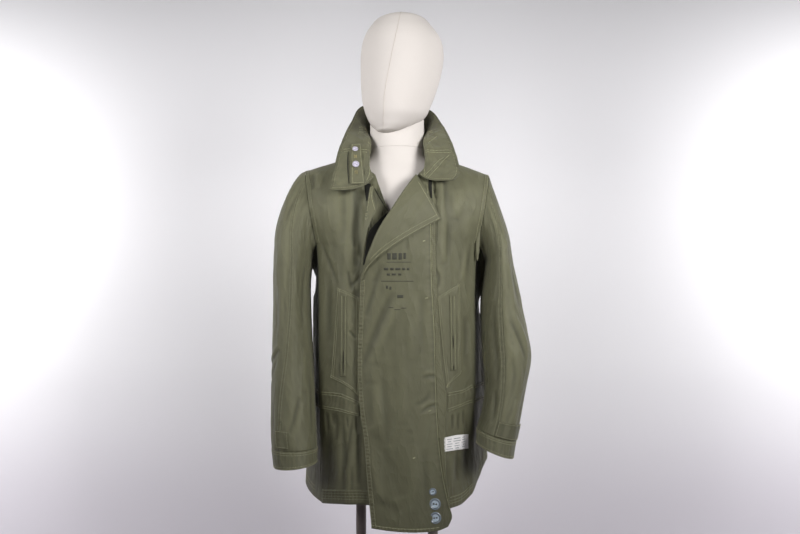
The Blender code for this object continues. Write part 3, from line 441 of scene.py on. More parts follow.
# === the back
# One piece of olive cotton from side seam to side seam, sewn to the fronts at
# the shoulders and sides. It hangs from the shoulder blades in long soft folds.
CLOTH_WALL = 0.0016
BODY = (
    # z, front_y, seam_x, seam_y, wide_x, wide_y, back_y
    (0.25, -0.141, 0.158, -0.044, 0.205, 0.05, 0.128),
    (0.33, -0.133, 0.16, -0.045, 0.203, 0.05, 0.13),
    (0.45, -0.124, 0.16, -0.046, 0.197, 0.048, 0.128),
    (0.55, -0.118, 0.163, -0.047, 0.19, 0.046, 0.12),
    (0.65, -0.117, 0.164, -0.047, 0.187, 0.046, 0.122),
    (0.75, -0.121, 0.165, -0.047, 0.184, 0.046, 0.128),
    (0.85, -0.124, 0.171, -0.046, 0.181, 0.045, 0.13),
    (0.9, -0.119, 0.178, -0.06, 0.183, 0.045, 0.13),
    (0.95, -0.106, 0.19, -0.06, 0.189, 0.045, 0.127),
    (1.00, -0.096, 0.204, -0.055, 0.201, 0.045, 0.123),
    (1.06, -0.09, 0.215, -0.05, 0.21, 0.045, 0.12),
)
FRONT_BULGE = 2.2
BACK_CORNER = 0.85
SIDE_FROM = 0.66
SIDE_BEND = 0.045
SIDE_HOLLOW = 0.012
RIDGE_Y = 0.002
SHOULDER_ROUND = 0.11
NECK_X = 0.072
NECK_Z = 1.045
SHOULDER_SLOPES = {-1: 0.3, 1: 0.368}
TIP_X = 0.198
BACK_NECK_RISE = 0.017
BACK_NECK_RIDGE = 0.045
ARMHOLE_BACK = (
    (0.603, 0.9986), (0.625, 0.97), (0.66, 0.93), (0.73, 0.89), (0.84, 0.861), (1.0, 0.85),
)
BACK_HEM = (
    (-1.0, 0.3), (-0.9, 0.304), (-0.8, 0.309), (-0.7, 0.317), (-0.6, 0.328), (0.0, 0.338),
    (0.45, 0.35), (0.66, 0.38), (0.78, 0.368), (0.9, 0.344), (1.0, 0.318),
)
# Metres of cloth for one unit of a, the way round the back.
BACK_HALF_GIRTH = 0.33


def along(points, count, lift=None):
    """count + 1 points, evenly spaced on a smooth curve through points, or on its lifted curve."""
    rows = np.array(points, float)
    knots = run_along(rows)
    dense = smooth_rows(np.column_stack([knots, rows]), np.linspace(0, knots[-1], 1201))
    places = dense if lift is None else lift(dense[:, 0], dense[:, 1])
    run = run_along(places)
    wanted = np.linspace(0, run[-1], count + 1)
    return np.column_stack([np.interp(wanted, run, dense[:, i]) for i in range(dense.shape[1])])


def joined(*curves):
    """Curves end to end, each one's first point dropped where it repeats."""
    return np.vstack([curves[0]] + [curve[1:] for curve in curves[1:]])


def patch(left, right, top, bottom):
    """A grid between four edges (a Coons patch), rows down and columns across."""
    s = np.linspace(0, 1, len(top))[None, :, None]
    t = np.linspace(0, 1, len(left))[:, None, None]
    across = (1 - s) * left[:, None] + s * right[:, None]
    down = (1 - t) * top[None, :] + t * bottom[None, :]
    corners = (
        (1 - s) * (1 - t) * top[0] + s * (1 - t) * top[-1]
        + (1 - s) * t * bottom[0] + s * t * bottom[-1]
    )
    return across + down - corners


def ruled(top, bottom, rows):
    """A grid of straight lines from one flat edge down to another."""
    left = np.linspace(top[0], bottom[0], rows + 1)
    return patch(left, np.linspace(top[-1], bottom[-1], rows + 1), top, bottom)


def bend(start, middle, end, t):
    """Places on the curve that leaves start towards middle and reaches end from there."""
    return (1 - t) ** 2 * start + 2 * t * (1 - t) * middle + t**2 * end


def smoothstep(value, low, high):
    t = np.clip((value - low) / (high - low), 0, 1)
    return t * t * (3 - 2 * t)


def ridge_z(x):
    """Height of the shoulder line, which is flatter on the wearer's right."""
    slope = np.where(np.asarray(x) < 0, SHOULDER_SLOPES[-1], SHOULDER_SLOPES[1])
    return NECK_Z - slope * np.maximum(np.abs(x) - NECK_X, 0)


def armhole_of(table, sign):
    """An armhole's flat line on one side, its top on that side's shoulder line."""
    foot = table[-1][1]
    stretch = (float(ridge_z(sign * TIP_X)) - foot) / (table[0][1] - foot)
    return [(sign * across, foot + (z - foot) * stretch) for across, z in table]


def shoulder_round(drop):
    """0 on the shoulder line, rising to 1 where the cloth hangs straight."""
    return np.sqrt(1 - (1 - np.clip(drop / SHOULDER_ROUND, 0, 1)) ** 2)


def back_section(a, z):
    """(x, y) of the back sheet before the shoulder's rounding."""
    seam_x, seam_y, wide_x, wide_y, back_y = columns_at(BODY, z)[1:]
    turn = np.minimum(np.abs(a) / SIDE_FROM, 1) * np.pi / 2
    x = wide_x * np.sin(turn) ** BACK_CORNER
    y = wide_y + (back_y - wide_y) * np.maximum(np.cos(turn), 0) ** BACK_CORNER
    s = np.maximum(np.abs(a) - SIDE_FROM, 0) / (1 - SIDE_FROM)
    x = bend(x, wide_x - SIDE_HOLLOW, seam_x, s)
    return np.sign(a) * x, bend(y, wide_y - SIDE_BEND, seam_y, s)


def back_place(a, z):
    """The back sheet: a runs from -1 at the right side seam to 1 at the left."""
    x, y = back_section(a, z)
    neck = 1 - np.minimum(np.abs(x) / NECK_X, 1) ** 2
    drop = ridge_z(x) + BACK_NECK_RIDGE * neck - z
    side = np.maximum(np.abs(a) - SIDE_FROM, 0) / (1 - SIDE_FROM)
    rounding = shoulder_round(drop) * (1 - side) + side
    return np.stack([x, RIDGE_Y + (y - RIDGE_Y) * rounding, z + 0 * x], axis=-1)


def back_a(x, z):
    """The way round the back at which the sheet reaches x."""
    wide_x = smooth_rows(BODY, z)[..., 3]
    turn = np.arcsin(np.clip(np.abs(x) / wide_x, 0, 1) ** (1 / BACK_CORNER))
    return np.sign(x) * turn / (np.pi / 2) * SIDE_FROM


def beside(a, b, line):
    """How far flat places lie from a bent line, and how far along it, as a share of its length."""
    spot = np.stack(np.broadcast_arrays(a, b), axis=-1)[..., None, :]
    step = np.diff(line, axis=0)
    share = np.clip(((spot - line[:-1]) * step).sum(axis=-1) / (step**2).sum(axis=-1), 0, 1)
    gap = np.linalg.norm(spot - line[:-1] - share[..., None] * step, axis=-1)
    nearest = gap.argmin(axis=-1)[..., None]
    place = nearest + np.take_along_axis(share, nearest, axis=-1)
    return np.take_along_axis(gap, nearest, axis=-1)[..., 0], place[..., 0] / len(step)


def folds(a, b, rows, scale=(1.0, 1.0)):
    """How far folds move the cloth out at flat places.

    A row is a ridge, or a trough if its depth is below zero: the flat place of its start,
    of the point that bends it and of its end, in thousandths, then its width and depth in millimetres.
    """
    total = np.zeros(np.broadcast(a, b).shape)
    t = np.linspace(0, 1, 13)[:, None]
    for *ends, width, depth in rows:
        start, middle, end = np.array(ends, float).reshape(3, 2) / 1000 * scale
        gap, share = beside(a * scale[0], b * scale[1], bend(start, middle, end, t))
        total += depth / 1000 * np.exp(-((gap * 1000 / width) ** 2)) * np.sin(np.pi * share) ** 0.7
    return total


def rumple(u, v, seed):
    """Smooth unevenness from about -1 to 1 over flat places, a lump to each unit."""
    u, v = np.broadcast_arrays(np.asarray(u, float), np.asarray(v, float))
    i, j = np.floor(u), np.floor(v)
    s, t = u - i, v - j
    s, t = s**3 * (s * (6 * s - 15) + 10), t**3 * (t * (6 * t - 15) + 10)

    def corner(di, dj):
        return np.mod(np.sin((i + di) * 12.9898 + (j + dj) * 78.233 + seed) * 43758.5453, 1) * 2 - 1

    low = corner(0, 0) * (1 - s) + corner(1, 0) * s
    high = corner(0, 1) * (1 - s) + corner(1, 1) * s
    return low * (1 - t) + high * t


def hang(u, v, seed, tall=1.0):
    """The cloth's own unevenness in metres: long soft drapes, then short creases, both upright."""
    drape = rumple(u / 0.04, v / 0.19, seed) * 0.0016 * tall
    crease = rumple(u / 0.018, v / 0.055, seed + 3) * 0.0005
    crumple = rumple((u + 0.4 * v) / 0.011, (v - 0.3 * u) / 0.017, seed + 7) * 0.00028
    return drape + crease + crumple


def pucker(a, b, paths, scale=(1.0, 1.0)):
    """Seams draw the cloth in: a shallow groove along each path, with short ripples on both sides."""
    total = np.zeros(np.broadcast(a, b).shape)
    for path in paths:
        line = np.array(path, float) * scale
        gap, share = beside(a * scale[0], b * scale[1], line)
        run = share * run_along(line)[-1]
        ripple = np.sin(run / 0.0021 + 2.2 * np.sin(run / 0.013)) * np.exp(-((gap / 0.007) ** 2))
        total += 0.00022 * ripple - 0.0005 * np.exp(-((gap / 0.003) ** 2))
    return total


def unit(vectors):
    return vectors / np.maximum(np.linalg.norm(vectors, axis=-1, keepdims=True), 1e-12)


def skin(place, relief, facing):
    """A piece's outer side as a function of flat coordinates and of a lift off the cloth.

    facing is 1 where the cross of "down" and "across" looks out of the garment, or else -1.
    """
    def outer(a, b, lift=0.0):
        a, b = np.broadcast_arrays(np.asarray(a, float), np.asarray(b, float))
        step = 0.0008
        across = place(a + step, b) - place(a - step, b)
        down = place(a, b - step) - place(a, b + step)
        out = unit(np.cross(down, across) * facing)
        return place(a, b) + out * (relief(a, b) + lift)[..., None]

    return outer


def walled(piece, wall):
    """Gives a sheet its thickness, half to each side."""
    maker = piece.modifiers.new("wall", "SOLIDIFY")
    maker.thickness = wall
    maker.offset = 0
    return piece


WEAR_AND_SHADE_REACH = 4
WEAR_AND_SHADE_DEPTH = 0.0006


def set_wear_and_shade(mesh, stand):
    wear = mesh.attributes.new("wear", "FLOAT", "POINT")
    wear.data.foreach_set("value", np.clip(stand, -1, 1).astype(np.float32).ravel())


def paint_wear_and_shade(mesh, grid, closed, turned):
    """Paints the dye: -1 in creases, as painted shade, to 1 on ridges, as faded wear with painted highlight,
    from what stands off its surroundings.
    """
    size = 2 * WEAR_AND_SHADE_REACH + 1
    reach = (WEAR_AND_SHADE_REACH, WEAR_AND_SHADE_REACH)
    spread = np.pad(grid, (reach, (0, 0), (0, 0)), mode="edge")
    spread = np.pad(spread, ((0, 0), reach, (0, 0)), mode="wrap" if closed else "edge")
    sums = np.pad(spread.cumsum(axis=0).cumsum(axis=1), ((1, 0), (1, 0), (0, 0)))
    mean = (sums[size:, size:] - sums[:-size, size:] - sums[size:, :-size] + sums[:-size, :-size]) / size**2
    out = unit(np.cross(np.gradient(grid, axis=0), np.gradient(grid, axis=1)) * turned)
    set_wear_and_shade(mesh, ((grid - mean) * out).sum(axis=-1) / WEAR_AND_SHADE_DEPTH)


def cloth(node, grid, material, flat, wall=CLOTH_WALL,
          slot="shell_cloth", closed=False, turned=1):
    """A sheet of cloth that stands for a node, over a grid of its outer side.

    turned is -1 where the cross of the grid's "down" and "across" looks into the garment.
    """
    mesh = surface_mesh(f"cloth_{node}", grid, closed)
    # The dye is painted darker in creases as shade, and paler on ridges as wear with highlight.
    paint_wear_and_shade(mesh, grid, closed, turned)
    piece = new_piece(f"cloth_{node}", mesh, material, slot, node)
    walled(piece, wall)
    return piece


def stitch_tree():
    """Geometry Nodes that sew a line: a short thread at every pitch, and between them a needle hole, a small
    near-black ball of painted shade.
    """
    tree = bpy.data.node_groups.new("stitch_row", "GeometryNodeTree")
    tree.is_modifier = True
    sockets = {
        "Geometry": "Geometry", "Pitch": "Float", "Thread Length": "Float", "Thread Radius": "Float",
        "Hole Radius": "Float", "Thread": "Material", "Hole": "Material",
    }
    for name, kind in sockets.items():
        tree.interface.new_socket(name, in_out="INPUT", socket_type=f"NodeSocket{kind}")
    tree.interface.new_socket("Geometry", in_out="OUTPUT", socket_type="NodeSocketGeometry")
    add, wire = node_tools(tree)
    add("given", "NodeGroupInput")
    add("result", "NodeGroupOutput")
    add("half pitch", "ShaderNodeMath", operation="MULTIPLY", input_1=0.5)
    add("half thread", "ShaderNodeMath", operation="MULTIPLY", input_1=0.5)
    add("curve", "GeometryNodeMeshToCurve")
    add("spaced", "GeometryNodeResampleCurve", mode="LENGTH")
    add("number", "GeometryNodeInputIndex")
    add("odd", "ShaderNodeMath", operation="MODULO", input_1=2)
    add("even", "FunctionNodeBooleanMath", operation="NOT")
    add("tangent", "GeometryNodeInputTangent")
    add("aim", "FunctionNodeAlignRotationToVector", axis="X")
    add("all", "GeometryNodeJoinGeometry")
    add("smooth", "GeometryNodeSetShadeSmooth")
    wire(
        "given.Pitch > half pitch.0", "given.Thread Length > half thread.0", "given.Geometry > curve.Mesh",
        "curve.Curve > spaced.Curve", "half pitch.0 > spaced.Length", "number.0 > odd.0", "odd.0 > even.0",
        "tangent.0 > aim.Vector",
    )
    kinds = (("Thread", "even", "half thread.0", 4), ("Hole", "odd", "given.Hole Radius", 3))
    for name, chosen, long, rings in kinds:
        add("ball", "GeometryNodeMeshUVSphere", segments=5, rings=rings, radius=1.0)
        add("size", "ShaderNodeCombineXYZ")
        add("placed", "GeometryNodeInstanceOnPoints")
        add("real", "GeometryNodeRealizeInstances")
        add("painted", "GeometryNodeSetMaterial")
        wire(
            f"{long} > size.X", f"given.{name} Radius > size.Y", f"given.{name} Radius > size.Z",
            "spaced.Curve > placed.Points", f"{chosen}.0 > placed.Selection", "ball.Mesh > placed.Instance",
            "aim.Rotation > placed.Rotation", "size.Vector > placed.Scale",
            "placed.Instances > real.Geometry", "real.Geometry > painted.Geometry",
            f"given.{name} > painted.Material", "painted.Geometry > all.Geometry",
        )
    wire("all.Geometry > smooth.Geometry", "smooth.Geometry > result.Geometry")
    return tree


def sewn(name, rows, pitch=0.0032, thread=0.00052, hole=0.00032, cover=0.66, colour=None):
    """Rows of stitches along lists of places, as one plain mesh."""
    points = np.vstack(rows)
    edges = []
    start = 0
    for row in rows:
        edges += [(start + i, start + i + 1) for i in range(len(row) - 1)]
        start += len(row)
    lines = bpy.data.meshes.new(name + "_lines")
    lines.from_pydata(points.tolist(), edges, [])
    guide = placed(name + "_lines", lines)
    sewing = guide.modifiers.new("sewing", "NODES")
    sewing.node_group = STITCHES
    values = {
        "Pitch": pitch, "Thread Length": pitch * cover, "Thread Radius": thread, "Hole Radius": hole,
        "Thread": colour or thread_colour, "Hole": hole_shadow,
    }
    for item in STITCHES.interface.items_tree:
        if item.in_out == "INPUT" and item.name in values:
            sewing[item.identifier] = values[item.name]
    graph = bpy.context.evaluated_depsgraph_get()
    mesh = bpy.data.meshes.new_from_object(guide.evaluated_get(graph))
    mesh.name = name
    bpy.data.objects.remove(guide, do_unlink=True)
    piece = placed(name, mesh)
    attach(piece, "root")
    return piece


SEAM_SPACING = 0.003


def seam_row(outer, path, lift=0.0009):
    """Places of a stitch row over a flat path, on a piece's outer side."""
    flat = np.array(path, float)
    length = run_along(laid(outer, flat))[-1]
    fine = along(flat, max(int(length / SEAM_SPACING), 3), outer)
    return laid(outer, fine, lift)


def raised(path, rise):
    """A flat path moved up, or down if the rise is below zero."""
    return [(a, b + rise) for a, b in path]


def laid(outer, flat, lift=0.0):
    """The places of a grid of flat places on a piece's outer side."""
    return outer(flat[..., 0], flat[..., 1], lift)


OLIVE = (0.106, 0.104, 0.06)
cotton = fabric_material("shell_cotton", OLIVE, 0.62, 0.00055, sheen=0.1, mottle=0.14, crumple=0.0009)
thread_colour = fabric_material("olive_thread", (0.42, 0.41, 0.25), 0.75, 0.0004, mottle=0.04)
dull_thread = fabric_material("dull_thread", (0.29, 0.285, 0.18), 0.8, 0.0004, mottle=0.04)
bright_thread = fabric_material("pale_thread", (0.56, 0.55, 0.33), 0.7, 0.0004, mottle=0.04)
# Painted shade: near-black balls and discs stand for the shade inside needle holes and button holes.
hole_shadow = fabric_material("needle_hole", (0.05, 0.047, 0.03), 0.9, 0.0004, mottle=0.02)
STITCHES = stitch_tree()

BACK_FOLDS = (
    # thousandths: from a z, bending at a z, to a z; mm: width, depth
    (-300, 950, -340, 800, -300, 580, 22, 5.0),
    (-140, 930, -120, 780, -180, 600, 16, -4.0),
    (50, 900, 90, 740, 40, 570, 18, 4.0),
    (220, 940, 200, 800, 260, 600, 17, -4.5),
    (380, 900, 360, 760, 320, 580, 20, 4.0),
    (-520, 880, -460, 860, -400, 870, 9, -2.6),
    (540, 890, 470, 850, 400, 860, 10, -2.8),
    (-460, 520, -440, 430, -500, 330, 15, -4.2),
    (-220, 510, -260, 420, -220, 340, 18, 4.2),
    (0, 510, 30, 430, -20, 340, 14, -4.0),
    (240, 510, 220, 420, 280, 340, 18, 4.4),
    (480, 510, 520, 430, 460, 330, 14, -4.0),
    (-720, 780, -760, 640, -720, 500, 12, -3.0),
    (720, 800, 770, 660, 730, 500, 12, -3.0),
    (-400, 620, -300, 590, -200, 600, 7, -2.0),
    (180, 600, 280, 585, 380, 600, 7, -2.2),
    (-650, 905, -660, 840, -650, 780, 26, 10.0),
    (-650, 800, -660, 765, -650, 735, 20, -5.0),
    (650, 900, 660, 822, 650, 735, 28, 14.0),
    (650, 735, 660, 712, 650, 690, 20, -5.0),
    (650, 620, 660, 550, 650, 480, 26, 8.0),
)
BACK_SCALE = (BACK_HALF_GIRTH, 1.0)
BACK_ARM_STEPS = 50
BACK_SIDE_STEPS = 120
BACK_SHOULDER_STEPS = 50
BACK_NECK_STEPS = 30
BACK_HEM_RISES = (0.016, 0.024)


def back_side(sign, foot):
    """The back's side edge, down the armhole and the side seam to the hem."""
    armhole = along(armhole_of(ARMHOLE_BACK, sign), BACK_ARM_STEPS, back_place)
    z = np.linspace(ARMHOLE_BACK[-1][1], foot, BACK_SIDE_STEPS + 1)
    return joined(armhole, np.column_stack([np.full(len(z), sign), z]))


def back_top(sign):
    """Half of the back's upper edge, from the shoulder's tip to the middle of the neck."""
    shoulder = np.linspace(TIP_X, NECK_X, BACK_SHOULDER_STEPS + 1)
    neck = NECK_X * np.cos(np.linspace(0, np.pi / 2, BACK_NECK_STEPS + 1))
    x = sign * np.concatenate([shoulder, neck[1:]])
    z = ridge_z(x) + BACK_NECK_RISE * (1 - np.minimum(np.abs(x) / NECK_X, 1) ** 2)
    edge = np.column_stack([back_a(x, z), z])
    edge[0] = armhole_of(ARMHOLE_BACK, sign)[0]
    return edge


def edge_calm(a):
    """The folds die away at the side seams, where the back meets the fronts."""
    return 1 - smoothstep(np.abs(a), 0.9, 1.0)


def back_relief(a, z):
    own = folds(a, z, BACK_FOLDS, BACK_SCALE) + hang(a * BACK_HALF_GIRTH, z, 1.7)
    return own * edge_calm(a) * (1 - 0.7 * smoothstep(z, 0.93, 0.99))


back_skin = skin(back_place, back_relief, -1)
back_upper = joined(back_top(-1), back_top(1)[::-1])
back_flat = patch(
    back_side(-1, BACK_HEM[0][1]), back_side(1, BACK_HEM[-1][1]), back_upper,
    along(BACK_HEM, len(back_upper) - 1, back_place),
)
back_stitches = sewn(
    "stitches_back", [seam_row(back_skin, raised(BACK_HEM[1:-1], rise)) for rise in BACK_HEM_RISES]
)
cloth("back", laid(back_skin, back_flat), cotton, flat=(0.66, 0.76), turned=-1)

# === the wearer's right front
# It lies under the overlap and drops back to the throat. Its side edge is sewn
# to the back, and a narrow binding with two rows of stitches covers the armhole.
ARMHOLE_FRONT = ((0.198, 0.9986), (0.192, 0.962), (0.184, 0.918), (0.177, 0.88), (0.171, 0.85))
RIGHT_NECK = ((-0.072, 1.045), (-0.068, 1.022), (-0.06, 1.006), (-0.045, 0.992))
RIGHT_INNER_EDGE = ((-0.045, 0.992), (-0.032, 0.956), (-0.0185, 0.918), (0.0, 0.872), (0.03, 0.815))
RIGHT_FRONT_EDGE = ((0.03, 0.815), (0.036, 0.7), (0.036, 0.55), (0.04, 0.313))
RIGHT_HEM = ((-0.158, 0.298), (-0.108, 0.308), (-0.057, 0.311), (0.04, 0.313))
UNDERLAP_DROP = 0.012
NECK_DROP = 0.017
BINDING = 0.0095
TRIM_WALL = 0.0007
LAYER = CLOTH_WALL / 2 + 0.0001 + TRIM_WALL / 2
# How far stitches lie off the cloth under a trim.
ON_TRIM = LAYER + 0.0005
BINDING_ROWS = (0.0018, 0.008)
# Thickness of the thin near-black sheets of painted shadow.
SHADOW_SHEET_WALL = 0.0003
ARM_STEPS = 70
SHIFTED_STEPS = 60
SHOULDER_STEPS = 44
RIGHT_NECK_STEPS = 14
RIGHT_INNER_STEPS = 50
# Long stitches with wide needle holes between them, as on the edges that carry the strain.
LADDER = {"pitch": 0.0042, "thread": 0.0006, "hole": 0.00085, "cover": 0.5}
RIGHT_SIDE_STEPS = 210
FRONT_RIGHT_FOLDS = (
    # thousandths: from x z, bending at x z, to x z; mm: width, depth
    (-179, 1000, -181, 980, -178, 962, 6, -3.6),
    (-166, 1000, -167, 980, -163, 965, 7, 2.2),
    (-82, 962, -81, 900, -88, 840, 10, -5.7),
    (-97, 850, -98, 820, -96, 790, 8, 1.4),
    (-108, 960, -108, 905, -104, 850, 13, -5.5),
    (-146, 935, -143, 890, -146, 850, 11, 1.6),
    (-102, 796, -99, 772, -93, 750, 4, -2.5),
    (-96, 760, -87, 766, -73, 784, 4, -2.5),
    (-88, 782, -84, 772, -80, 750, 5, 1.8),
    (-161, 857, -140, 812, -122, 761, 4, -1.5),
    (-140, 790, -144, 700, -141, 640, 9, -2.4),
    (-98, 669, -92, 659, -83, 652, 3.5, -2.0),
    (-127, 500, -126, 465, -127, 435, 6, -3.6),
    (-112, 496, -114, 430, -111, 336, 7, -4.2),
    (-119, 470, -120, 420, -119, 360, 5, 0.8),
    (-88, 496, -101, 445, -110, 376, 8, -5.1),
    (-79, 512, -78, 430, -80, 350, 7, -3.9),
    (-140, 495, -143, 430, -139, 340, 11, -3.4),
    (-94, 400, -92, 360, -94, 325, 5, -1.8),
    (-84, 975, -83, 890, -88, 800, 12, -5.0),
    (-77, 950, -78, 880, -75, 815, 4, -2.6),
    (-130, 972, -118, 962, -100, 955, 10, -2.6),
    (-186, 988, -187, 966, -184, 944, 3.5, -3.6),
    (-24, 925, -40, 870, -66, 815, 16, -8.0),
    (-135, 495, -134, 483, -135, 466, 3.2, -2.7),
    (-147, 496, -147, 480, -146, 455, 3.6, -2.4),
    (-103, 492, -104, 478, -103, 462, 3.0, -2.7),
    (-82, 490, -84, 474, -83, 455, 3.2, -2.4),
)


def front_y(x, z):
    """The front sheet's y."""
    front, seam_x, seam_y = columns_at(BODY, z)[:3]
    across = np.abs(x) / seam_x
    level = seam_y + (front - seam_y) * (1 - across**FRONT_BULGE)
    return RIDGE_Y + (level - RIDGE_Y) * shoulder_round(ridge_z(x) - z)


def front_place(x, z):
    return np.stack([x, front_y(x, z), z], axis=-1)


def right_front_place(x, z):
    """The right front, which drops behind the overlap and back to the throat."""
    drop = UNDERLAP_DROP * smoothstep(x, -0.108, -0.072)
    drop = drop + NECK_DROP * smoothstep(x, -0.085, -0.05) * smoothstep(z, 0.78, 0.9)
    drop = drop * (1 - smoothstep(z, 0.935, 0.995))
    return np.stack([x, front_y(x, z) + drop, z], axis=-1)


def shifted(path, offset):
    """A flat path moved to its own left by an offset."""
    line = along(path, SHIFTED_STEPS)
    step = np.gradient(line, axis=0)
    side = np.column_stack([-step[:, 1], step[:, 0]]) / np.linalg.norm(step, axis=1, keepdims=True)
    return line + side * offset


def seam_points(foot, sign, steps):
    """The side seam on a front sheet, from the underarm to the hem."""
    z = np.linspace(ARMHOLE_FRONT[-1][1], foot, steps + 1)
    return np.column_stack([sign * smooth_rows(BODY, z)[..., 1], z])


def over(outer, lift, own):
    """The outer side of a second layer with a relief of its own, carried by the layer under it."""
    return lambda a, b, more=0.0: outer(a, b, lift + own(a, b) + more)


BAND_ROWS = 6
CRIMP_PITCH = 0.0075
# How much paler sewn-on strips are made: wear on their raised edges, partly painted highlight.
EDGE_WEAR_AND_HIGHLIGHT = 0.45


def band(name, outer, first, second, columns, lift=LAYER, wall=TRIM_WALL, material=None, crimp=0.0):
    """A strip of cloth sewn on to a piece, between two flat edges, as a separate piece.

    crimp is the height of the short ripples that its stitches draw up.
    """
    top = along(first, columns)
    flat = ruled(top, along(second, columns), BAND_ROWS)
    share = 2 * np.abs(np.linspace(0, 1, BAND_ROWS + 1)[:, None] - 0.5)
    run = run_along(top)
    ripple = np.sin(2 * np.pi * run / CRIMP_PITCH + 1.8 * np.sin(run / 0.031)) * (1 - share**4)
    mesh = surface_mesh(name, laid(outer, flat, lift + crimp * ripple - 0.0005 * share**6))
    # Painted light and shade: the strip is paler as a whole, and its ripples are paler on crests and darker
    # in troughs.
    set_wear_and_shade(mesh, EDGE_WEAR_AND_HIGHLIGHT * (1 + ripple * (crimp > 0)))
    return walled(new_piece(name, mesh, material or cotton, "shell_cloth"), wall)


def panel_calm(x, z, seam_x):
    """The folds die away at the side seam and at the shoulder."""
    return smoothstep(np.abs(seam_x) - np.abs(x), -0.002, 0.016) * (1 - 0.8 * smoothstep(z, 0.99, 1.03))


def front_right_relief(x, z):
    seam_x = smooth_rows(BODY, z)[..., 1]
    own = folds(x, z, FRONT_RIGHT_FOLDS) + hang(x, z, 5.3) * 0.8
    return own * panel_calm(x, z, seam_x)


front_right_skin = skin(right_front_place, front_right_relief, 1)
armhole_path = armhole_of(ARMHOLE_FRONT, -1)
front_right_top = joined(
    along(((-TIP_X, ridge_z(-TIP_X)), (-NECK_X, NECK_Z)), SHOULDER_STEPS, front_place),
    along(RIGHT_NECK, RIGHT_NECK_STEPS, front_place),
    along(RIGHT_INNER_EDGE, RIGHT_INNER_STEPS, front_place),
)
front_right_flat = patch(
    joined(along(armhole_path, ARM_STEPS, front_place), seam_points(RIGHT_HEM[0][1], -1, RIGHT_SIDE_STEPS)),
    along(RIGHT_FRONT_EDGE, ARM_STEPS + RIGHT_SIDE_STEPS),
    front_right_top,
    along(RIGHT_HEM, len(front_right_top) - 1),
)
right_binding = band(
    "armhole_binding_front_right", front_right_skin,
    shifted(armhole_path, 0.0005), shifted(armhole_path, BINDING), 70,
)
right_hem = band(
    "hem_front_right", front_right_skin, raised(RIGHT_HEM, 0.0305), raised(RIGHT_HEM, 0.0008), 180,
    crimp=0.0003,
)
# Between the two fronts the cloth falls back into hollows that no light reaches. Thin near-black sheets lie
# there as painted shadow, and one lies along the throat seam as a painted dark groove.
PAINTED_SHADOWS_RIGHT = {
    # name: left edge, right edge
    "hollow_throat": (
        ((-0.02, 0.9148), (-0.04, 0.8964), (-0.0575, 0.8738), (-0.0625, 0.8554), (-0.0665, 0.8308),
         (-0.07, 0.8041)),
        ((-0.01, 0.9148), (-0.018, 0.8964), (-0.03, 0.8738), (-0.039, 0.8554), (-0.05, 0.8308),
         (-0.061, 0.8041)),
    ),
    "hollow_strip": (
        ((-0.068, 0.974), (-0.0665, 0.955), (-0.0635, 0.937)),
        ((-0.054, 0.974), (-0.0565, 0.955), (-0.0615, 0.937)),
    ),
    "throat_seam": (
        ((-0.047, 0.964), (-0.034, 0.94), (-0.021, 0.918)),
        ((-0.0456, 0.9646), (-0.0326, 0.9408), (-0.0198, 0.9188)),
    ),
}
# Painted shadow: a near-black cloth for the sheets laid where there is only shade.
painted_shadow = fabric_material("slit_shadow", (0.012, 0.012, 0.009), 0.95, 0.0005, mottle=0.02)
right_painted_shadows = [
    band(name, front_right_skin, *edges, 60, wall=SHADOW_SHEET_WALL, material=painted_shadow)
    for name, edges in PAINTED_SHADOWS_RIGHT.items()
]
front_right_rows = [
    seam_row(front_right_skin, shifted(armhole_path, offset), ON_TRIM) for offset in BINDING_ROWS
]
front_right_rows += [
    seam_row(front_right_skin, raised(RIGHT_HEM, rise), ON_TRIM) for rise in (0.028, 0.0225, 0.0165, 0.011)
]
front_right_stitches = sewn("stitches_front_right", front_right_rows, colour=dull_thread)
cloth("front_right", laid(front_right_skin, front_right_flat), cotton, flat=(0.21, 0.75))

# === the wearer's left front
# A narrower piece between the overlap and the left side seam. It is double
# stitched to the overlap, and bound round the armhole like the other one.
LEFT_NECK = ((0.057, 1.001), (0.064, 1.012), (0.069, 1.026), (0.072, 1.045))
FRONT_SEAM = (
    (0.057, 1.001), (0.064, 0.97), (0.07, 0.894), (0.072, 0.773), (0.078, 0.663),
    (0.08, 0.58), (0.083, 0.49), (0.089, 0.417), (0.096, 0.364), (0.11, 0.3),
)
LEFT_HEM = ((0.11, 0.3), (0.137, 0.304), (0.1595, 0.318))
LEFT_SIDE_STEPS = 190
LEFT_NECK_STEPS = 16
FRONT_LEFT_FOLDS = (
    # thousandths: from x z, bending at x z, to x z; mm: width, depth
    (80, 978, 78, 960, 79, 940, 4.5, -4.5),
    (91, 980, 92, 960, 91, 938, 5, 3.0),
    (96, 925, 94, 865, 97, 808, 7, 2.7),
    (108, 892, 109, 855, 104, 820, 9, -1.6),
    (162, 920, 135, 915, 108, 882, 13, -1.4),
    (128, 965, 130, 930, 122, 900, 12, 2.2),
    (145, 845, 141, 810, 134, 770, 5, 1.0),
    (152, 850, 150, 800, 147, 740, 7, -1.3),
    (79, 798, 94, 775, 82, 752, 3.5, -2.4),
    (142, 700, 147, 650, 143, 590, 7, -2.1),
    (125, 425, 126, 390, 124, 352, 6, -3.3),
    (144, 495, 147, 440, 144, 350, 7, -2.7),
    (110, 415, 112, 375, 113, 340, 6, 2.2),
    (78, 990, 80, 962, 83.5, 930, 4.5, -5.0),
    (90, 992, 90.5, 960, 95, 905, 5.0, 2.6),
    (74, 990, 74, 965, 76, 940, 2.5, 2.0),
    (115, 494, 116, 480, 115, 462, 3.2, -2.4),
    (128, 496, 127, 480, 128, 458, 3.4, -2.4),
    (139, 500, 140, 484, 139, 468, 3.0, -2.1),
)
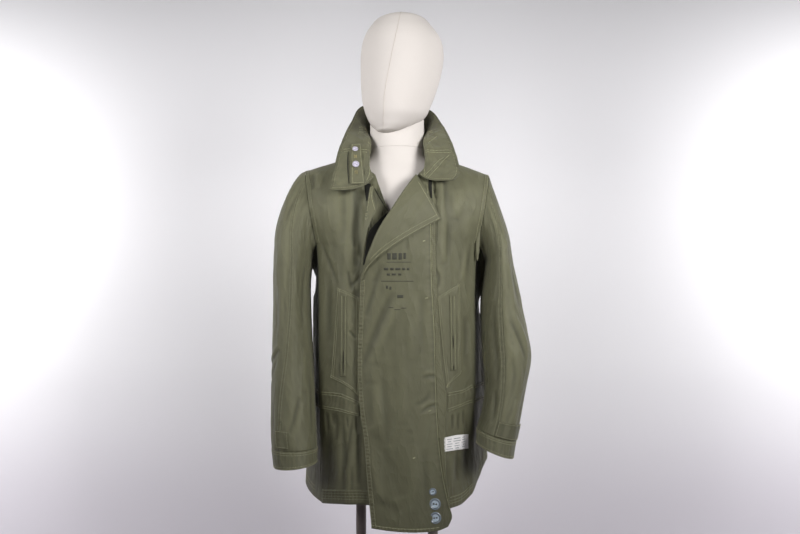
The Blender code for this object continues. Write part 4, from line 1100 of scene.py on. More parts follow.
SEAM_FACING = (
    (0.0775, 0.905), (0.0815, 0.773), (0.0885, 0.663), (0.0945, 0.58), (0.1015, 0.54),
    (0.1, 0.478), (0.102, 0.364), (0.1095, 0.304),
)


def front_left_relief(x, z):
    seam_x = smooth_rows(BODY, z)[..., 1]
    own = folds(x, z, FRONT_LEFT_FOLDS) + hang(x, z, 8.9) * 0.8 * smoothstep(x, 0.072, 0.09)
    return own * panel_calm(x, z, seam_x)


front_left_skin = skin(front_place, front_left_relief, 1)
front_left_top = joined(
    along(LEFT_NECK, LEFT_NECK_STEPS, front_place),
    along(((NECK_X, NECK_Z), (TIP_X, ridge_z(TIP_X))), SHOULDER_STEPS, front_place),
)
front_left_flat = patch(
    along(FRONT_SEAM, ARM_STEPS + LEFT_SIDE_STEPS, front_place),
    joined(along(ARMHOLE_FRONT, ARM_STEPS, front_place), seam_points(LEFT_HEM[-1][1], 1, LEFT_SIDE_STEPS)),
    front_left_top,
    along(LEFT_HEM, len(front_left_top) - 1),
)
left_binding = band(
    "armhole_binding_front_left", front_left_skin,
    shifted(ARMHOLE_FRONT, -0.0005), shifted(ARMHOLE_FRONT, -BINDING), 70,
)
left_hem = band(
    "hem_front_left", front_left_skin, raised(LEFT_HEM, 0.0245), raised(LEFT_HEM, 0.0008), 60, crimp=0.0003,
)
seam_facing = band(
    "front_seam_facing", front_left_skin, [(x - 0.0002, z) for x, z in FRONT_SEAM[2:-1]], SEAM_FACING, 560,
    crimp=0.0002,
)
# The binding is longer than the armhole, and its end hangs free below it.
FLAP = (
    # outer x, inner x, y, z
    (0.1785, 0.1735, -0.0545, 0.892), (0.1768, 0.1698, -0.0545, 0.872), (0.1752, 0.1672, -0.055, 0.852),
    (0.1742, 0.1668, -0.055, 0.836), (0.173, 0.1674, -0.0545, 0.824), (0.1712, 0.1688, -0.054, 0.814),
)
FLAP_CROWN = 0.0012
flap_table = [(i, *row) for i, row in enumerate(FLAP)]
outer_x, inner_x, y, z = columns_at(flap_table, np.linspace(0, len(FLAP) - 1, 40))[..., None]
share = np.linspace(1, 0, 9)
flap_grid = np.stack([
    outer_x + (inner_x - outer_x) * share, y - FLAP_CROWN * np.sin(np.pi * share), z + 0 * share,
], axis=-1)
flap_mesh = surface_mesh("armhole_flap_left", flap_grid)
# The flap is made a little paler: wear on its edge, partly painted highlight.
set_wear_and_shade(flap_mesh, np.full(flap_grid.shape[:2], 0.5 * EDGE_WEAR_AND_HIGHLIGHT))
left_flap = walled(new_piece("armhole_flap_left", flap_mesh, cotton, "shell_cloth"), TRIM_WALL)
front_left_rows = [
    seam_row(front_left_skin, shifted(ARMHOLE_FRONT, -offset), ON_TRIM) for offset in BINDING_ROWS
]
front_left_rows += [
    seam_row(front_left_skin, raised(LEFT_HEM, rise), ON_TRIM) for rise in (0.0225, 0.016, 0.01)
]
front_left_stitches = sewn("stitches_front_left", front_left_rows)
facing_rows = [
    seam_row(front_left_skin, shifted(edge, offset), ON_TRIM)
    for edge, offset in ((FRONT_SEAM[2:-1], 0.0016), (SEAM_FACING, -0.0016))
]
facing_stitches = sewn("stitches_front_seam_facing", facing_rows, **LADDER)
# A thin near-black sheet of painted shadow lies in the hollow beside the lapel's roll.
left_painted_shadow = band(
    "hollow_lapel", front_left_skin, ((0.065, 0.984), (0.066, 0.962), (0.07, 0.942)),
    ((0.0725, 0.984), (0.0725, 0.962), (0.073, 0.942)), 40, wall=SHADOW_SHEET_WALL, material=painted_shadow,
)
cloth("front_left", laid(front_left_skin, front_left_flat), cotton, flat=(0.13, 0.74))

# === waist casing
# A band of the same cotton runs round the waist and hides a drawcord. The cord
# gathers it into short upright puckers. Two rows of stitches hold each edge.
CASINGS = {
    # node: skin, upper edge and lower edge in flat places, columns, seed, flat size
    "waist_casing_front_right": (
        front_right_skin,
        ((-0.157, 0.537), (-0.112, 0.536), (-0.078, 0.521)),
        ((-0.157, 0.5), (-0.112, 0.497), (-0.078, 0.49)),
        60, 2.0, (0.08, 0.04),
    ),
    "waist_casing_front_left": (
        front_left_skin,
        ((0.105, 0.54), (0.146, 0.546), (0.158, 0.552)),
        ((0.105, 0.499), (0.146, 0.51), (0.158, 0.512)),
        44, 4.0, (0.06, 0.04),
    ),
    "waist_casing_back": (
        back_skin,
        ((-0.985, 0.537), (-0.5, 0.54), (0.0, 0.543), (0.5, 0.546), (0.985, 0.549)),
        ((-0.985, 0.499), (-0.5, 0.502), (0.0, 0.505), (0.5, 0.508), (0.985, 0.511)),
        380, 6.0, (0.63, 0.04),
    ),
}
CASING_ROWS = 24
# How far the stitches lie off the casing, as a share of the casing's own lift.
CASING_THREAD_LIFT = 0.0007 / 0.0023


def gathers(run, share, seed):
    """Short upright puckers along a gathered band: run is the way along it, share from edge to edge."""
    bent = run + 0.004 * rumple(run / 0.03, share * 1.7, seed)
    ripple = np.sin(bent / 0.0017 + 2.4 * rumple(run / 0.022, share * 2.0, seed + 1))
    strength = 0.45 + 0.55 * rumple(run / 0.035, share * 1.3, seed + 2)
    round_edge = 1 - (2 * np.abs(share - 0.5)) ** 6
    return (0.00055 * ripple * strength + 0.0007 * rumple(run / 0.018, share * 2.5, seed + 5)) * round_edge


for node, (carrier, upper, lower, columns, seed, size) in CASINGS.items():
    flat = ruled(along(upper, columns), along(lower, columns), CASING_ROWS)
    share = np.linspace(0, 1, CASING_ROWS + 1)[:, None]
    base = laid(carrier, flat)
    run = run_along(base[CASING_ROWS // 2])[None, :]
    grid = laid(carrier, flat, LAYER + 0.0006 + gathers(run, share, seed))
    casing_rows = [
        grid[row] + (grid[row] - base[row]) * CASING_THREAD_LIFT
        for row in (1, 4, CASING_ROWS - 4, CASING_ROWS - 1)
    ]
    sewing = sewn(f"stitches_{node}", casing_rows, pitch=0.003)
    cloth(node, grid, cotton, flat=size,
          wall=TRIM_WALL)

# === pockets and welts
# A pocket bag of the same cotton is sewn flat on each front. Its opening is a
# narrow upright welt beside the side seam, with an open slit in it.
POCKETS = {
    # node: skin, upper edge, lower edge in (x, z), seed
    "pocket_right": (
        front_right_skin,
        ((-0.124, 0.758), (-0.098, 0.748), (-0.077, 0.736)),
        ((-0.138, 0.567), (-0.102, 0.551), (-0.079, 0.532)), 12.0,
    ),
    "pocket_left": (
        front_left_skin,
        ((0.082, 0.738), (0.106, 0.753), (0.132, 0.767)),
        ((0.102, 0.546), (0.112, 0.56), (0.133, 0.575)), 15.0,
    ),
}
POCKET_FOLDS = (
    # thousandths: from x z, bending at x z, to x z; mm: width, depth
    (-123.5, 700, -125, 655, -122.5, 605, 2.6, -1.8),
    (-128, 690, -130, 650, -126, 610, 2.4, -1.5),
    (-119, 735, -120, 700, -118, 665, 3.0, 1.1),
    (-124, 640, -130, 620, -132, 590, 3.0, -1.5),
    (-100, 669, -92, 659, -83, 652, 3.0, -1.5),
    (-90, 720, -93, 700, -90, 680, 4.0, -1.1),
    (-86, 620, -92, 590, -90, 560, 4.0, -1.4),
    (-118, 600, -120, 585, -115, 568, 3.0, -1.4),
    (90, 720, 93, 690, 90, 660, 4.0, -1.3),
    (100, 690, 98, 650, 102, 610, 4.0, 1.3),
    (124, 700, 126, 660, 124, 610, 3.0, -1.5),
    (100, 620, 104, 600, 108, 575, 3.0, -1.4),
    (86, 640, 93, 625, 96, 600, 3.0, -1.3),
)
WELTS = {
    # node: middle x at the top and foot, z of top and foot
    "pocket_welt_right": (-0.1085, -0.11, 0.742, 0.572),
    "pocket_welt_left": (0.113, 0.116, 0.742, 0.584),
}
WELT_HALF = 0.0055
SLITS = {
    # node: z of the middle and half height of each open stretch
    "pocket_welt_right": ((0.603, 0.023),),
    "pocket_welt_left": ((0.644, 0.014), (0.59, 0.005)),
}

POCKET_SIZE = (0.05, 0.19)
POCKET_ROWS = 130
POCKET_COLUMNS = 44
for node, (carrier, upper, lower, seed) in POCKETS.items():
    top = along(upper, POCKET_COLUMNS)
    bottom = along(lower, POCKET_COLUMNS)
    flat = ruled(top, bottom, POCKET_ROWS)
    pocket_skin = over(
        carrier, LAYER + 0.0004,
        lambda x, z, seed=seed: folds(x, z, POCKET_FOLDS) * 0.7 + hang(x, z, seed, 0.1) * 0.6,
    )
    # The bag lies flat along its sewn edge and takes its own folds farther in.
    row = np.arange(POCKET_ROWS + 1)
    column = np.arange(POCKET_COLUMNS + 1)
    down = np.minimum(row, POCKET_ROWS - row)[:, None] / 7
    across = np.minimum(column, POCKET_COLUMNS - column)[None, :] / 6
    inside = smoothstep(np.minimum(down, across), 0, 1)[..., None]
    grid = laid(carrier, flat, LAYER) * (1 - inside) + laid(pocket_skin, flat) * inside
    pocket_rows = [
        seam_row(carrier, path, ON_TRIM) for gap in (0.0022, 0.0062)
        for path in (top - (0, gap), bottom + (0, gap), flat[3:-3, 0] + (gap, 0), flat[3:-3, -1] - (gap, 0))
    ]
    sewing = sewn(f"stitches_{node}", pocket_rows, pitch=0.0034)
    cloth(node, grid, cotton, flat=POCKET_SIZE,
          wall=TRIM_WALL)

WELT_ROWS = 120
WELT_LIFT = LAYER + 0.0016
for node, (x_top, x_foot, z_top, z_foot) in WELTS.items():
    carrier = front_right_skin if x_top < 0 else front_left_skin
    middle = np.linspace((x_top, z_top), (x_foot, z_foot), WELT_ROWS + 1)
    share = np.linspace(-1, 1, 19)
    flat = middle[:, None] + np.stack([share * WELT_HALF, 0 * share], axis=-1)[None]
    crown = 0.0006 * (1 - share**6) - 0.0013 * np.exp(-((share / 0.22) ** 2))
    row = np.arange(WELT_ROWS + 1)
    ends = smoothstep(np.minimum(row, WELT_ROWS - row) / 5, 0, 1)
    grid = laid(carrier, flat, WELT_LIFT + crown[None, :] * ends[:, None])
    # Each open stretch of a slit is a thin near-black lens of painted shadow on the welt's trough.
    for number, (z_middle, half_height) in enumerate(SLITS[node], 1):
        z = z_middle + half_height * np.linspace(1, -1, 41)
        x = np.interp(z, middle[::-1, 1], middle[::-1, 0])
        wide = 0.0011 * np.sqrt(np.maximum(1 - ((z - z_middle) / half_height) ** 2, 0.0004))
        across = x[:, None] + wide[:, None] * np.array([-1, 0, 1])
        lens = carrier(across, z[:, None], WELT_LIFT + 0.0005)
        mesh = surface_mesh(f"slit_{node}_{number}", lens)
        walled(new_piece(f"slit_{node}_{number}", mesh, painted_shadow, "shell_cloth"), 0.0004)
    welt_rows = [
        seam_row(carrier, middle[2:-2] + (side * WELT_HALF * 0.72, 0), WELT_LIFT + 0.0013) for side in (-1, 1)
    ]
    sewn(f"stitches_{node}", welt_rows, pitch=0.0034)
    cloth(node, grid, cotton, flat=(0.011, 0.17),
          wall=TRIM_WALL)

# === the wide overlap of the left front
# The double-breasted overlap crosses over the right front. It is double
# stitched along its seam, and its free edge hangs straight. Plain dark bars
# of ink stand for the size stamps.
ROLL_LINE = (
    (0.042, 0.99), (0.02, 0.96), (0.008, 0.942), (-0.007, 0.918),
    (-0.035, 0.873), (-0.053, 0.831), (-0.066, 0.797), (-0.074, 0.773),
)
OVERLAP_EDGE = (
    (-0.074, 0.773), (-0.078, 0.69), (-0.081, 0.59), (-0.075, 0.496),
    (-0.068, 0.449), (-0.059, 0.345), (-0.051, 0.269),
)
OVERLAP_TOP = ((0.042, 0.99), (0.05, 0.998), (0.057, 1.001))
OVERLAP_TAIL = ((0.11, 0.3), (0.114, 0.28), (0.1056, 0.263))
OVERLAP_FOOT = (
    (-0.051, 0.268), (0.002, 0.263), (0.03, 0.261), (0.062, 0.2595), (0.085, 0.259), (0.1056, 0.263),
)
ROLL_LIFT = 0.01
OVERLAP_ROLL_STEPS = 90
OVERLAP_EDGE_STEPS = 190
OVERLAP_TAIL_STEPS = 16
OVERLAP_SEAM_STEPS = OVERLAP_ROLL_STEPS + OVERLAP_EDGE_STEPS - OVERLAP_TAIL_STEPS
OVERLAP_COLUMNS = 90
OVERLAP_FOLDS = (
    # thousandths: from x z, bending at x z, to x z; mm: width, depth
    (-28, 808, -56, 745, -66, 698, 8, -3.9),
    (-45, 770, -62, 735, -73, 690, 6, 2.3),
    (-6, 752, -42, 680, -72, 588, 9, -4.4),
    (10, 740, -20, 680, -52, 600, 10, 2.3),
    (21, 858, 22, 845, 20, 832, 5, -0.9),
    (49, 571, 66, 577, 84, 575, 4.5, -1.1),
    (52, 580, 68, 586, 82, 583, 5.0, 0.8),
    (36, 519, 62, 518, 67, 548, 4.5, -1.0),
    (48, 498, 62, 517, 88, 514, 3.6, -1.5),
    (50, 508, 66, 526, 84, 523, 5.0, 0.9),
    (18, 466, 26, 465, 34, 459, 4, -0.6),
    (-70, 562, -52, 565, -36, 561, 6, -0.7),
    (-30, 610, -20, 505, -18, 435, 11, -2.9),
    (-46, 600, -40, 520, -44, 455, 12, 2.3),
    (10, 640, 14, 560, 10, 480, 14, 2.1),
    (-52, 470, -22, 420, 4, 330, 20, -5.0),
    (-60, 420, -40, 370, -30, 320, 10, 2.6),
    (-46, 330, -20, 320, 4, 300, 12, -2.2),
    (30, 440, 36, 370, 30, 300, 13, 2.3),
    (58, 430, 60, 370, 64, 300, 9, -2.1),
    (50, 760, 53, 690, 50, 620, 9, -1.6),
    (30, 700, 26, 660, 31, 610, 9, 1.3),
)
STAMPS = (
    # middle x, middle z, width, height: two rows of marks, bars and a small block
    (-0.016, 0.822, 0.007, 0.013), (-0.005, 0.822, 0.009, 0.013), (0.007, 0.822, 0.007, 0.013),
    (0.016, 0.823, 0.005, 0.012),
    (0.004, 0.81, 0.05, 0.0012),
    (-0.022, 0.796, 0.009, 0.005), (-0.01, 0.796, 0.007, 0.005), (0.002, 0.796, 0.01, 0.005),
    (0.014, 0.796, 0.006, 0.005), (0.023, 0.796, 0.005, 0.005),
    (-0.017, 0.785, 0.007, 0.004), (-0.006, 0.785, 0.009, 0.004), (0.006, 0.785, 0.006, 0.004),
    (0.001, 0.771, 0.066, 0.0014),
    (-0.02, 0.759, 0.004, 0.006), (-0.013, 0.757, 0.004, 0.006),
    (0.007, 0.74, 0.012, 0.006),
    (-0.012, 0.717, 0.01, 0.0016), (0.001, 0.713, 0.012, 0.0016), (0.014, 0.716, 0.01, 0.0016),
)


def roll_x(z):
    rows = sorted((row[1], row[0]) for row in ROLL_LINE)
    return smooth_rows(rows, z)[..., 0]


def overlap_place(x, z):
    """The overlap panel, which stands off the chest along the lapel's roll."""
    near_roll = np.exp(-(((x - roll_x(z)) / 0.05) ** 2))
    lift = ROLL_LIFT * near_roll * smoothstep(z, 0.7, 0.84) * (1 - smoothstep(z, 0.9, 0.985))
    return np.stack([x, front_y(x, z) - lift, z], axis=-1)


def overlap_relief(x, z):
    own = folds(x, z, OVERLAP_FOLDS) + hang(x, z, 3.1) * 0.5
    drawn = pucker(x, z, [shifted(FRONT_SEAM, -0.004)])
    return own * (0.35 + 0.65 * smoothstep(z, 0.262, 0.3)) + drawn


PLATE_CELL = 0.002


def plates(name, outer, rows, material, lift, wall=0.0003):
    """Thin level patches on a skin, from rows of middle x, middle z, width and height."""
    gathered = bpy.data.meshes.new(name)
    shape = bmesh.new()
    for x, z, width, height in rows:
        across = np.linspace(-0.5, 0.5, max(int(width / PLATE_CELL), 2) + 1)[None, :]
        down = np.linspace(0.5, -0.5, max(int(height / PLATE_CELL), 2) + 1)[:, None]
        shape.from_mesh(surface_mesh(name, outer(x + width * across, z + height * down, lift)))
    shape.to_mesh(gathered)
    shape.free()
    return walled(new_piece(name, gathered, material, "shell_cloth"), wall)


overlap_skin = skin(overlap_place, overlap_relief, 1)
overlap_flat = patch(
    joined(along(ROLL_LINE, OVERLAP_ROLL_STEPS, front_place), along(OVERLAP_EDGE, OVERLAP_EDGE_STEPS)),
    joined(along(FRONT_SEAM, OVERLAP_SEAM_STEPS, front_place), along(OVERLAP_TAIL, OVERLAP_TAIL_STEPS)),
    along(OVERLAP_TOP, OVERLAP_COLUMNS), along(OVERLAP_FOOT, OVERLAP_COLUMNS),
)
overlap_foot = OVERLAP_FOOT[:-1]
overlap_bands = [
    band("overlap_edge_band", overlap_skin, shifted(OVERLAP_EDGE, 0.0004), shifted(OVERLAP_EDGE, 0.01), 560,
         crimp=0.0004),
    band("overlap_foot_band", overlap_skin, raised(overlap_foot, 0.0006), raised(overlap_foot, 0.0085), 160,
         crimp=0.0004),
]
overlap_rows = [
    seam_row(overlap_skin, shifted(FRONT_SEAM[1:], -0.0016)),
    seam_row(overlap_skin, raised(overlap_foot, 0.0068), ON_TRIM),
]
ladder_rows = [seam_row(overlap_skin, shifted(OVERLAP_EDGE, offset), ON_TRIM) for offset in (0.0014, 0.0086)]
ink = fabric_material("stamp_ink", (0.045, 0.045, 0.032), 0.7, 0.00055, mottle=0.25)
overlap_sewing = [
    sewn("stitches_overlap", overlap_rows, pitch=0.003, thread=0.0006, colour=bright_thread),
    sewn("stitches_overlap_edge", ladder_rows, **LADDER),
]
# Ends of thread where pockets and facings are tacked inside: x and z.
TACKS = ((0.056, 0.853), (0.0615, 0.736), (0.068, 0.504), (0.0355, 0.41))
tack_rows = [
    overlap_skin(x + np.linspace(-0.002, 0.002, 5), z + np.linspace(0, 0.001, 5), 0.001) for x, z in TACKS
]
overlap_sewing.append(
    sewn("tacks_overlap", tack_rows, pitch=0.0026, thread=0.0008, cover=0.9, colour=bright_thread)
)
stamps = plates("stamp_marks", overlap_skin, STAMPS, ink, 0.00095)
cloth("overlap_panel", laid(overlap_skin, overlap_flat), cotton, flat=(0.2, 0.74))

# === buttons on the overlap's foot
# One small and two large glossy slate-blue buttons, turned with a raised rim
# and pierced by two holes. Each one is sewn on with a bar of dark thread.
OVERLAP_BUTTONS = (
    # x, z, radius, thickness, turn of the thread bar in degrees
    (0.073, 0.3398, 0.0075, 0.0028, 15),
    (0.0774, 0.3145, 0.012, 0.0036, -8),
    (0.0782, 0.2865, 0.012, 0.0036, 6),
)
OVERLAP_BUTTON_LIFT = CLOTH_WALL / 2 + 0.0008
BUTTON_PROFILE = (
    # share of the radius, share of the thickness
    (0.0, 0.0), (0.8, 0.0), (0.93, 0.12), (1.0, 0.35), (1.0, 0.7), (0.97, 0.88), (0.91, 0.98),
    (0.84, 1.0), (0.77, 0.96), (0.71, 0.76), (0.68, 0.68), (0.58, 0.6), (0.4, 0.5), (0.2, 0.45),
    (0.0, 0.44),
)


def gloss_material(name, colour, deeper, roughness, groove, dish):
    """A moulded button: soft swirls of two tones under a glossy skin, on Object coordinates.

    groove is painted shade, how dark the groove inside the rim is made; dish is a painted reflection, how
    bright the hollow in the middle is made.
    """
    made, shader, add, wire = node_material(name)
    add("place", "ShaderNodeTexCoord")
    add("swirl", "ShaderNodeTexNoise", scale=140.0, detail=3.0, distortion=1.6)
    ramp(add("tone", "ShaderNodeValToRGB"), (0.35, deeper), (0.7, colour))
    # Painted shade in the groove and a painted reflection in the dish, by the share of the radius.
    add("reach", "ShaderNodeAttribute", attribute_name="reach")
    shade = add("shade", "ShaderNodeValToRGB")
    ramp(shade, (0.58, 3 * (dish,)), (0.8, 3 * (1,)), (0.7, 3 * (groove,)))
    add("shaded", "ShaderNodeVectorMath", operation="MULTIPLY")
    wire(
        "place.Object > swirl.Vector", "swirl.Fac > tone.Fac", "reach.Fac > shade.Fac",
        "tone.Color > shaded.0", "shade.Color > shaded.1", "shaded.Vector > shader.Base Color",
    )
    fill(shader, Roughness=roughness, Coat_Weight=0.6, Coat_Roughness=0.15)
    return made


def turned_button(name, centre, outward, radius, thickness, material, slot, node, twist, thread):
    """A turned button, with two thread holes and the thread through them as separate pieces."""
    facing = Vector(outward).to_track_quat("Z", "Y").to_matrix().to_4x4()
    facing.translation = Vector(centre)
    spin = Matrix.Rotation(math.radians(twist), 4, "Z")
    mesh = turned_mesh(name, [(radius * r, thickness * h) for r, h in BUTTON_PROFILE], 64)
    reach = [math.hypot(*vertex.co.xy) / radius for vertex in mesh.vertices]
    mesh.attributes.new("reach", "FLOAT", "POINT").data.foreach_set("value", reach)
    mesh.transform(facing @ spin)
    new_piece(name, mesh, material, slot, node)
    level = thickness * 0.49
    gap = radius * 0.24
    wide = radius * 0.14
    # The two holes are thin near-black discs of painted shade.
    for side in (-1, 1):
        rows = [(0, level - 0.0001), (wide, level - 0.0001), (wide, level + 0.0002), (0, level + 0.0002)]
        hole = turned_mesh(f"{name}_hole_{'ab'[side > 0]}", rows, 20, (side * gap, 0, 0))
        hole.transform(facing @ spin)
        new_piece(hole.name, hole, hole_shadow, "shell_cloth")
    for number, shift in enumerate((-0.0003, 0.0003), 1):
        arch = [
            (gap * math.cos(t), shift, level + 0.0009 * math.sin(t)) for t in np.linspace(0, np.pi, 9)
        ]
        loop = tube_mesh(f"{name}_thread_{number}", arch, 0.00032, 6)
        loop.transform(facing @ spin)
        new_piece(loop.name, loop, thread, "shell_cloth")


# Its last two numbers paint shade into the groove and a reflection into the dish.
button_blue = gloss_material("button_blue", (0.26, 0.305, 0.345), (0.18, 0.215, 0.25), 0.18, 0.42, 2.2)
dark_thread = fabric_material("dark_thread", (0.06, 0.065, 0.065), 0.8, 0.0004, mottle=0.05)
for number, (x, z, radius, thickness, twist) in enumerate(OVERLAP_BUTTONS, 1):
    reach = np.array([-0.002, 0.002])
    spread_x, spread_z = np.meshgrid(x + reach, z + reach)
    around = overlap_place(spread_x, spread_z)
    outward = np.cross(around[1, 0] - around[0, 1], around[1, 1] - around[0, 0])
    outward *= -np.sign(outward[1])
    centre = overlap_skin(x, z, OVERLAP_BUTTON_LIFT)
    turned_button(f"overlap_button_{number}", centre, outward, radius, thickness, button_blue, "button_blue",
                  f"button_overlap_{number}", twist, dark_thread)

# === the left front's lapel
# The overlap's upper corner rolls back along a soft line on to the chest, and
# shows the lining side's neat double stitching along its free edge.
LAPEL_NOTCH = ((0.042, 0.984), (0.068, 0.94), (0.091, 0.899))
LAPEL_EDGE = (
    (0.091, 0.899), (0.048, 0.876), (-0.007, 0.843),
    (-0.047, 0.812), (-0.064, 0.79), (-0.0695, 0.774),
)
LAPEL_ROLL_FROM = 0.15
LAPEL_ROLL_RADIUS = 0.004
LAPEL_FULL_WIDTH = 0.012
LAPEL_CLEARANCE = 0.001
LAPEL_EDGE_SHARE = 0.55
LAPEL_ROWS = 150
LAPEL_COLUMNS = 60
LAPEL_ROLL_STEPS = 16
LAPEL_SEAM_POINTS = 120
LAPEL_FOLDS = (
    # thousandths: from x z, bending at x z, to x z; mm: width, depth
    (30, 955, 50, 925, 78, 900, 9, 0.7),
    (0, 900, 20, 885, 50, 880, 10, -0.6),
    (-20, 870, 0, 860, 10, 855, 8, 0.6),
    (-45, 835, -35, 825, -30, 820, 6, -0.5),
)


def grid_skin(grid, facing):
    """A grid's outer side by share across and share down, with a lift off it."""
    out = unit(np.cross(np.gradient(grid, axis=0), np.gradient(grid, axis=1)) * facing)
    both = np.concatenate([grid, out], axis=-1)

    def outer(u, v, lift=0.0):
        u, v = np.broadcast_arrays(np.asarray(u, float), np.asarray(v, float))
        column = np.clip(u, 0, 1) * (grid.shape[1] - 1)
        row = np.clip(v, 0, 1) * (grid.shape[0] - 1)
        i = np.minimum(row.astype(int), grid.shape[0] - 2)
        j = np.minimum(column.astype(int), grid.shape[1] - 2)
        s, t = (column - j)[..., None], (row - i)[..., None]
        value = (both[i, j] * (1 - s) + both[i, j + 1] * s) * (1 - t)
        value = value + (both[i + 1, j] * (1 - s) + both[i + 1, j + 1] * s) * t
        return value[..., :3] + value[..., 3:] * np.asarray(lift)[..., None]

    return outer


def from_last_column(grid, gap, low, high):
    """(share across, share down) places a gap in from a grid's last column, between two shares down."""
    reach = np.linalg.norm(grid[:, 1:] - grid[:, :-1], axis=-1).sum(axis=1)
    v = np.linspace(low, high, LAPEL_SEAM_POINTS)
    length = np.interp(v * (len(grid) - 1), np.arange(len(grid)), reach)
    return np.column_stack([1 - gap / np.maximum(length, gap * 1.5), v])


roll = along(ROLL_LINE, LAPEL_ROWS)
lapel_flat = patch(
    roll, along(LAPEL_EDGE, LAPEL_ROWS), along(LAPEL_NOTCH, LAPEL_COLUMNS),
    np.linspace(roll[-1], np.array(LAPEL_EDGE[-1]), LAPEL_COLUMNS + 1),
)
lapel_across = lapel_flat[:, -1] - lapel_flat[:, 0]
lapel_width = np.linalg.norm(lapel_across, axis=-1, keepdims=True)
lapel_way = lapel_across / lapel_width
lapel_radius = LAPEL_ROLL_RADIUS * np.minimum(lapel_width[:, 0] / LAPEL_FULL_WIDTH, 1)
lapel_columns = []
for angle in np.linspace(LAPEL_ROLL_FROM * np.pi, np.pi, LAPEL_ROLL_STEPS):
    spot = lapel_flat[:, 0] - lapel_way * (lapel_radius * np.sin(angle))[:, None]
    place = overlap_place(spot[:, 0], spot[:, 1])
    place[:, 1] -= lapel_radius * (1 - np.cos(angle)) + LAPEL_CLEARANCE
    lapel_columns.append(place)
for column, share in enumerate(np.linspace(1, LAPEL_EDGE_SHARE, LAPEL_COLUMNS + 1)[1:], 1):
    x, z = lapel_flat[:, column].T
    place = overlap_place(x, z)
    relief = folds(x, z, LAPEL_FOLDS) + hang(x, z, 21.0, 0.25) * 0.5
    away_from_roll = smoothstep(column / LAPEL_COLUMNS, 0.0, 0.25)
    place[:, 1] -= 2 * lapel_radius * share + LAPEL_CLEARANCE + relief * away_from_roll
    lapel_columns.append(place)
lapel_grid = np.stack(lapel_columns, axis=1)
lapel_skin = grid_skin(lapel_grid, 1)
lapel_stitches = sewn("stitches_lapel", [
    seam_row(lapel_skin, from_last_column(lapel_grid, 0.003, 0.015, 0.93)),
    seam_row(lapel_skin, from_last_column(lapel_grid, 0.0105, 0.03, 0.8)),
    seam_row(lapel_skin, [(u, 0.022) for u in np.linspace(0.3, 0.99, 30)]),
])
cloth("lapel_left", lapel_grid, cotton, flat=(0.13, 0.22))

# === the right front's narrow band
# A narrow band of doubled cotton is sewn along the right front's neck edge,
# and two short tacks of thread hold it near its upper end.
STRIP_OUTER = (
    (-0.0556, 0.9656), (-0.0597, 0.9387), (-0.0632, 0.915), (-0.0672, 0.8869), (-0.0705, 0.8455),
    (-0.0725, 0.804),
)
STRIP_INNER = (
    (-0.0488, 0.9656), (-0.0496, 0.945), (-0.0432, 0.9192), (-0.0521, 0.8973), (-0.0601, 0.8745),
    (-0.065, 0.8468), (-0.0695, 0.804),
)
STRIP_LIFT = 0.0022
STRIP_TACKS = ((-0.063, 0.909), (-0.0632, 0.906), (-0.0628, 0.9), (-0.0631, 0.897))


def strip_place(x, z):
    return front_place(x, z) - np.array([0, STRIP_LIFT, 0])


strip_skin = skin(strip_place, lambda x, z: hang(x, z, 31.0, 0.1) * 0.5, 1)
strip_outer = along(STRIP_OUTER, 120)
strip_inner = along(STRIP_INNER, 120)
strip_flat = patch(
    strip_outer, strip_inner, *(np.linspace(strip_outer[end], strip_inner[end], 15) for end in (0, -1))
)
strip_rows = [
    seam_row(strip_skin, shifted(edge[:3], offset))
    for edge, offset in ((STRIP_INNER, -0.0022), (STRIP_OUTER, 0.0022))
]
strip_rows += [strip_skin(x + np.linspace(-0.0016, 0.0016, 5), z, 0.001) for x, z in STRIP_TACKS]
strip_stitches = sewn("stitches_strip", strip_rows, pitch=0.0028)
cloth("strip_right", laid(strip_skin, strip_flat), cotton, flat=(0.025, 0.17))

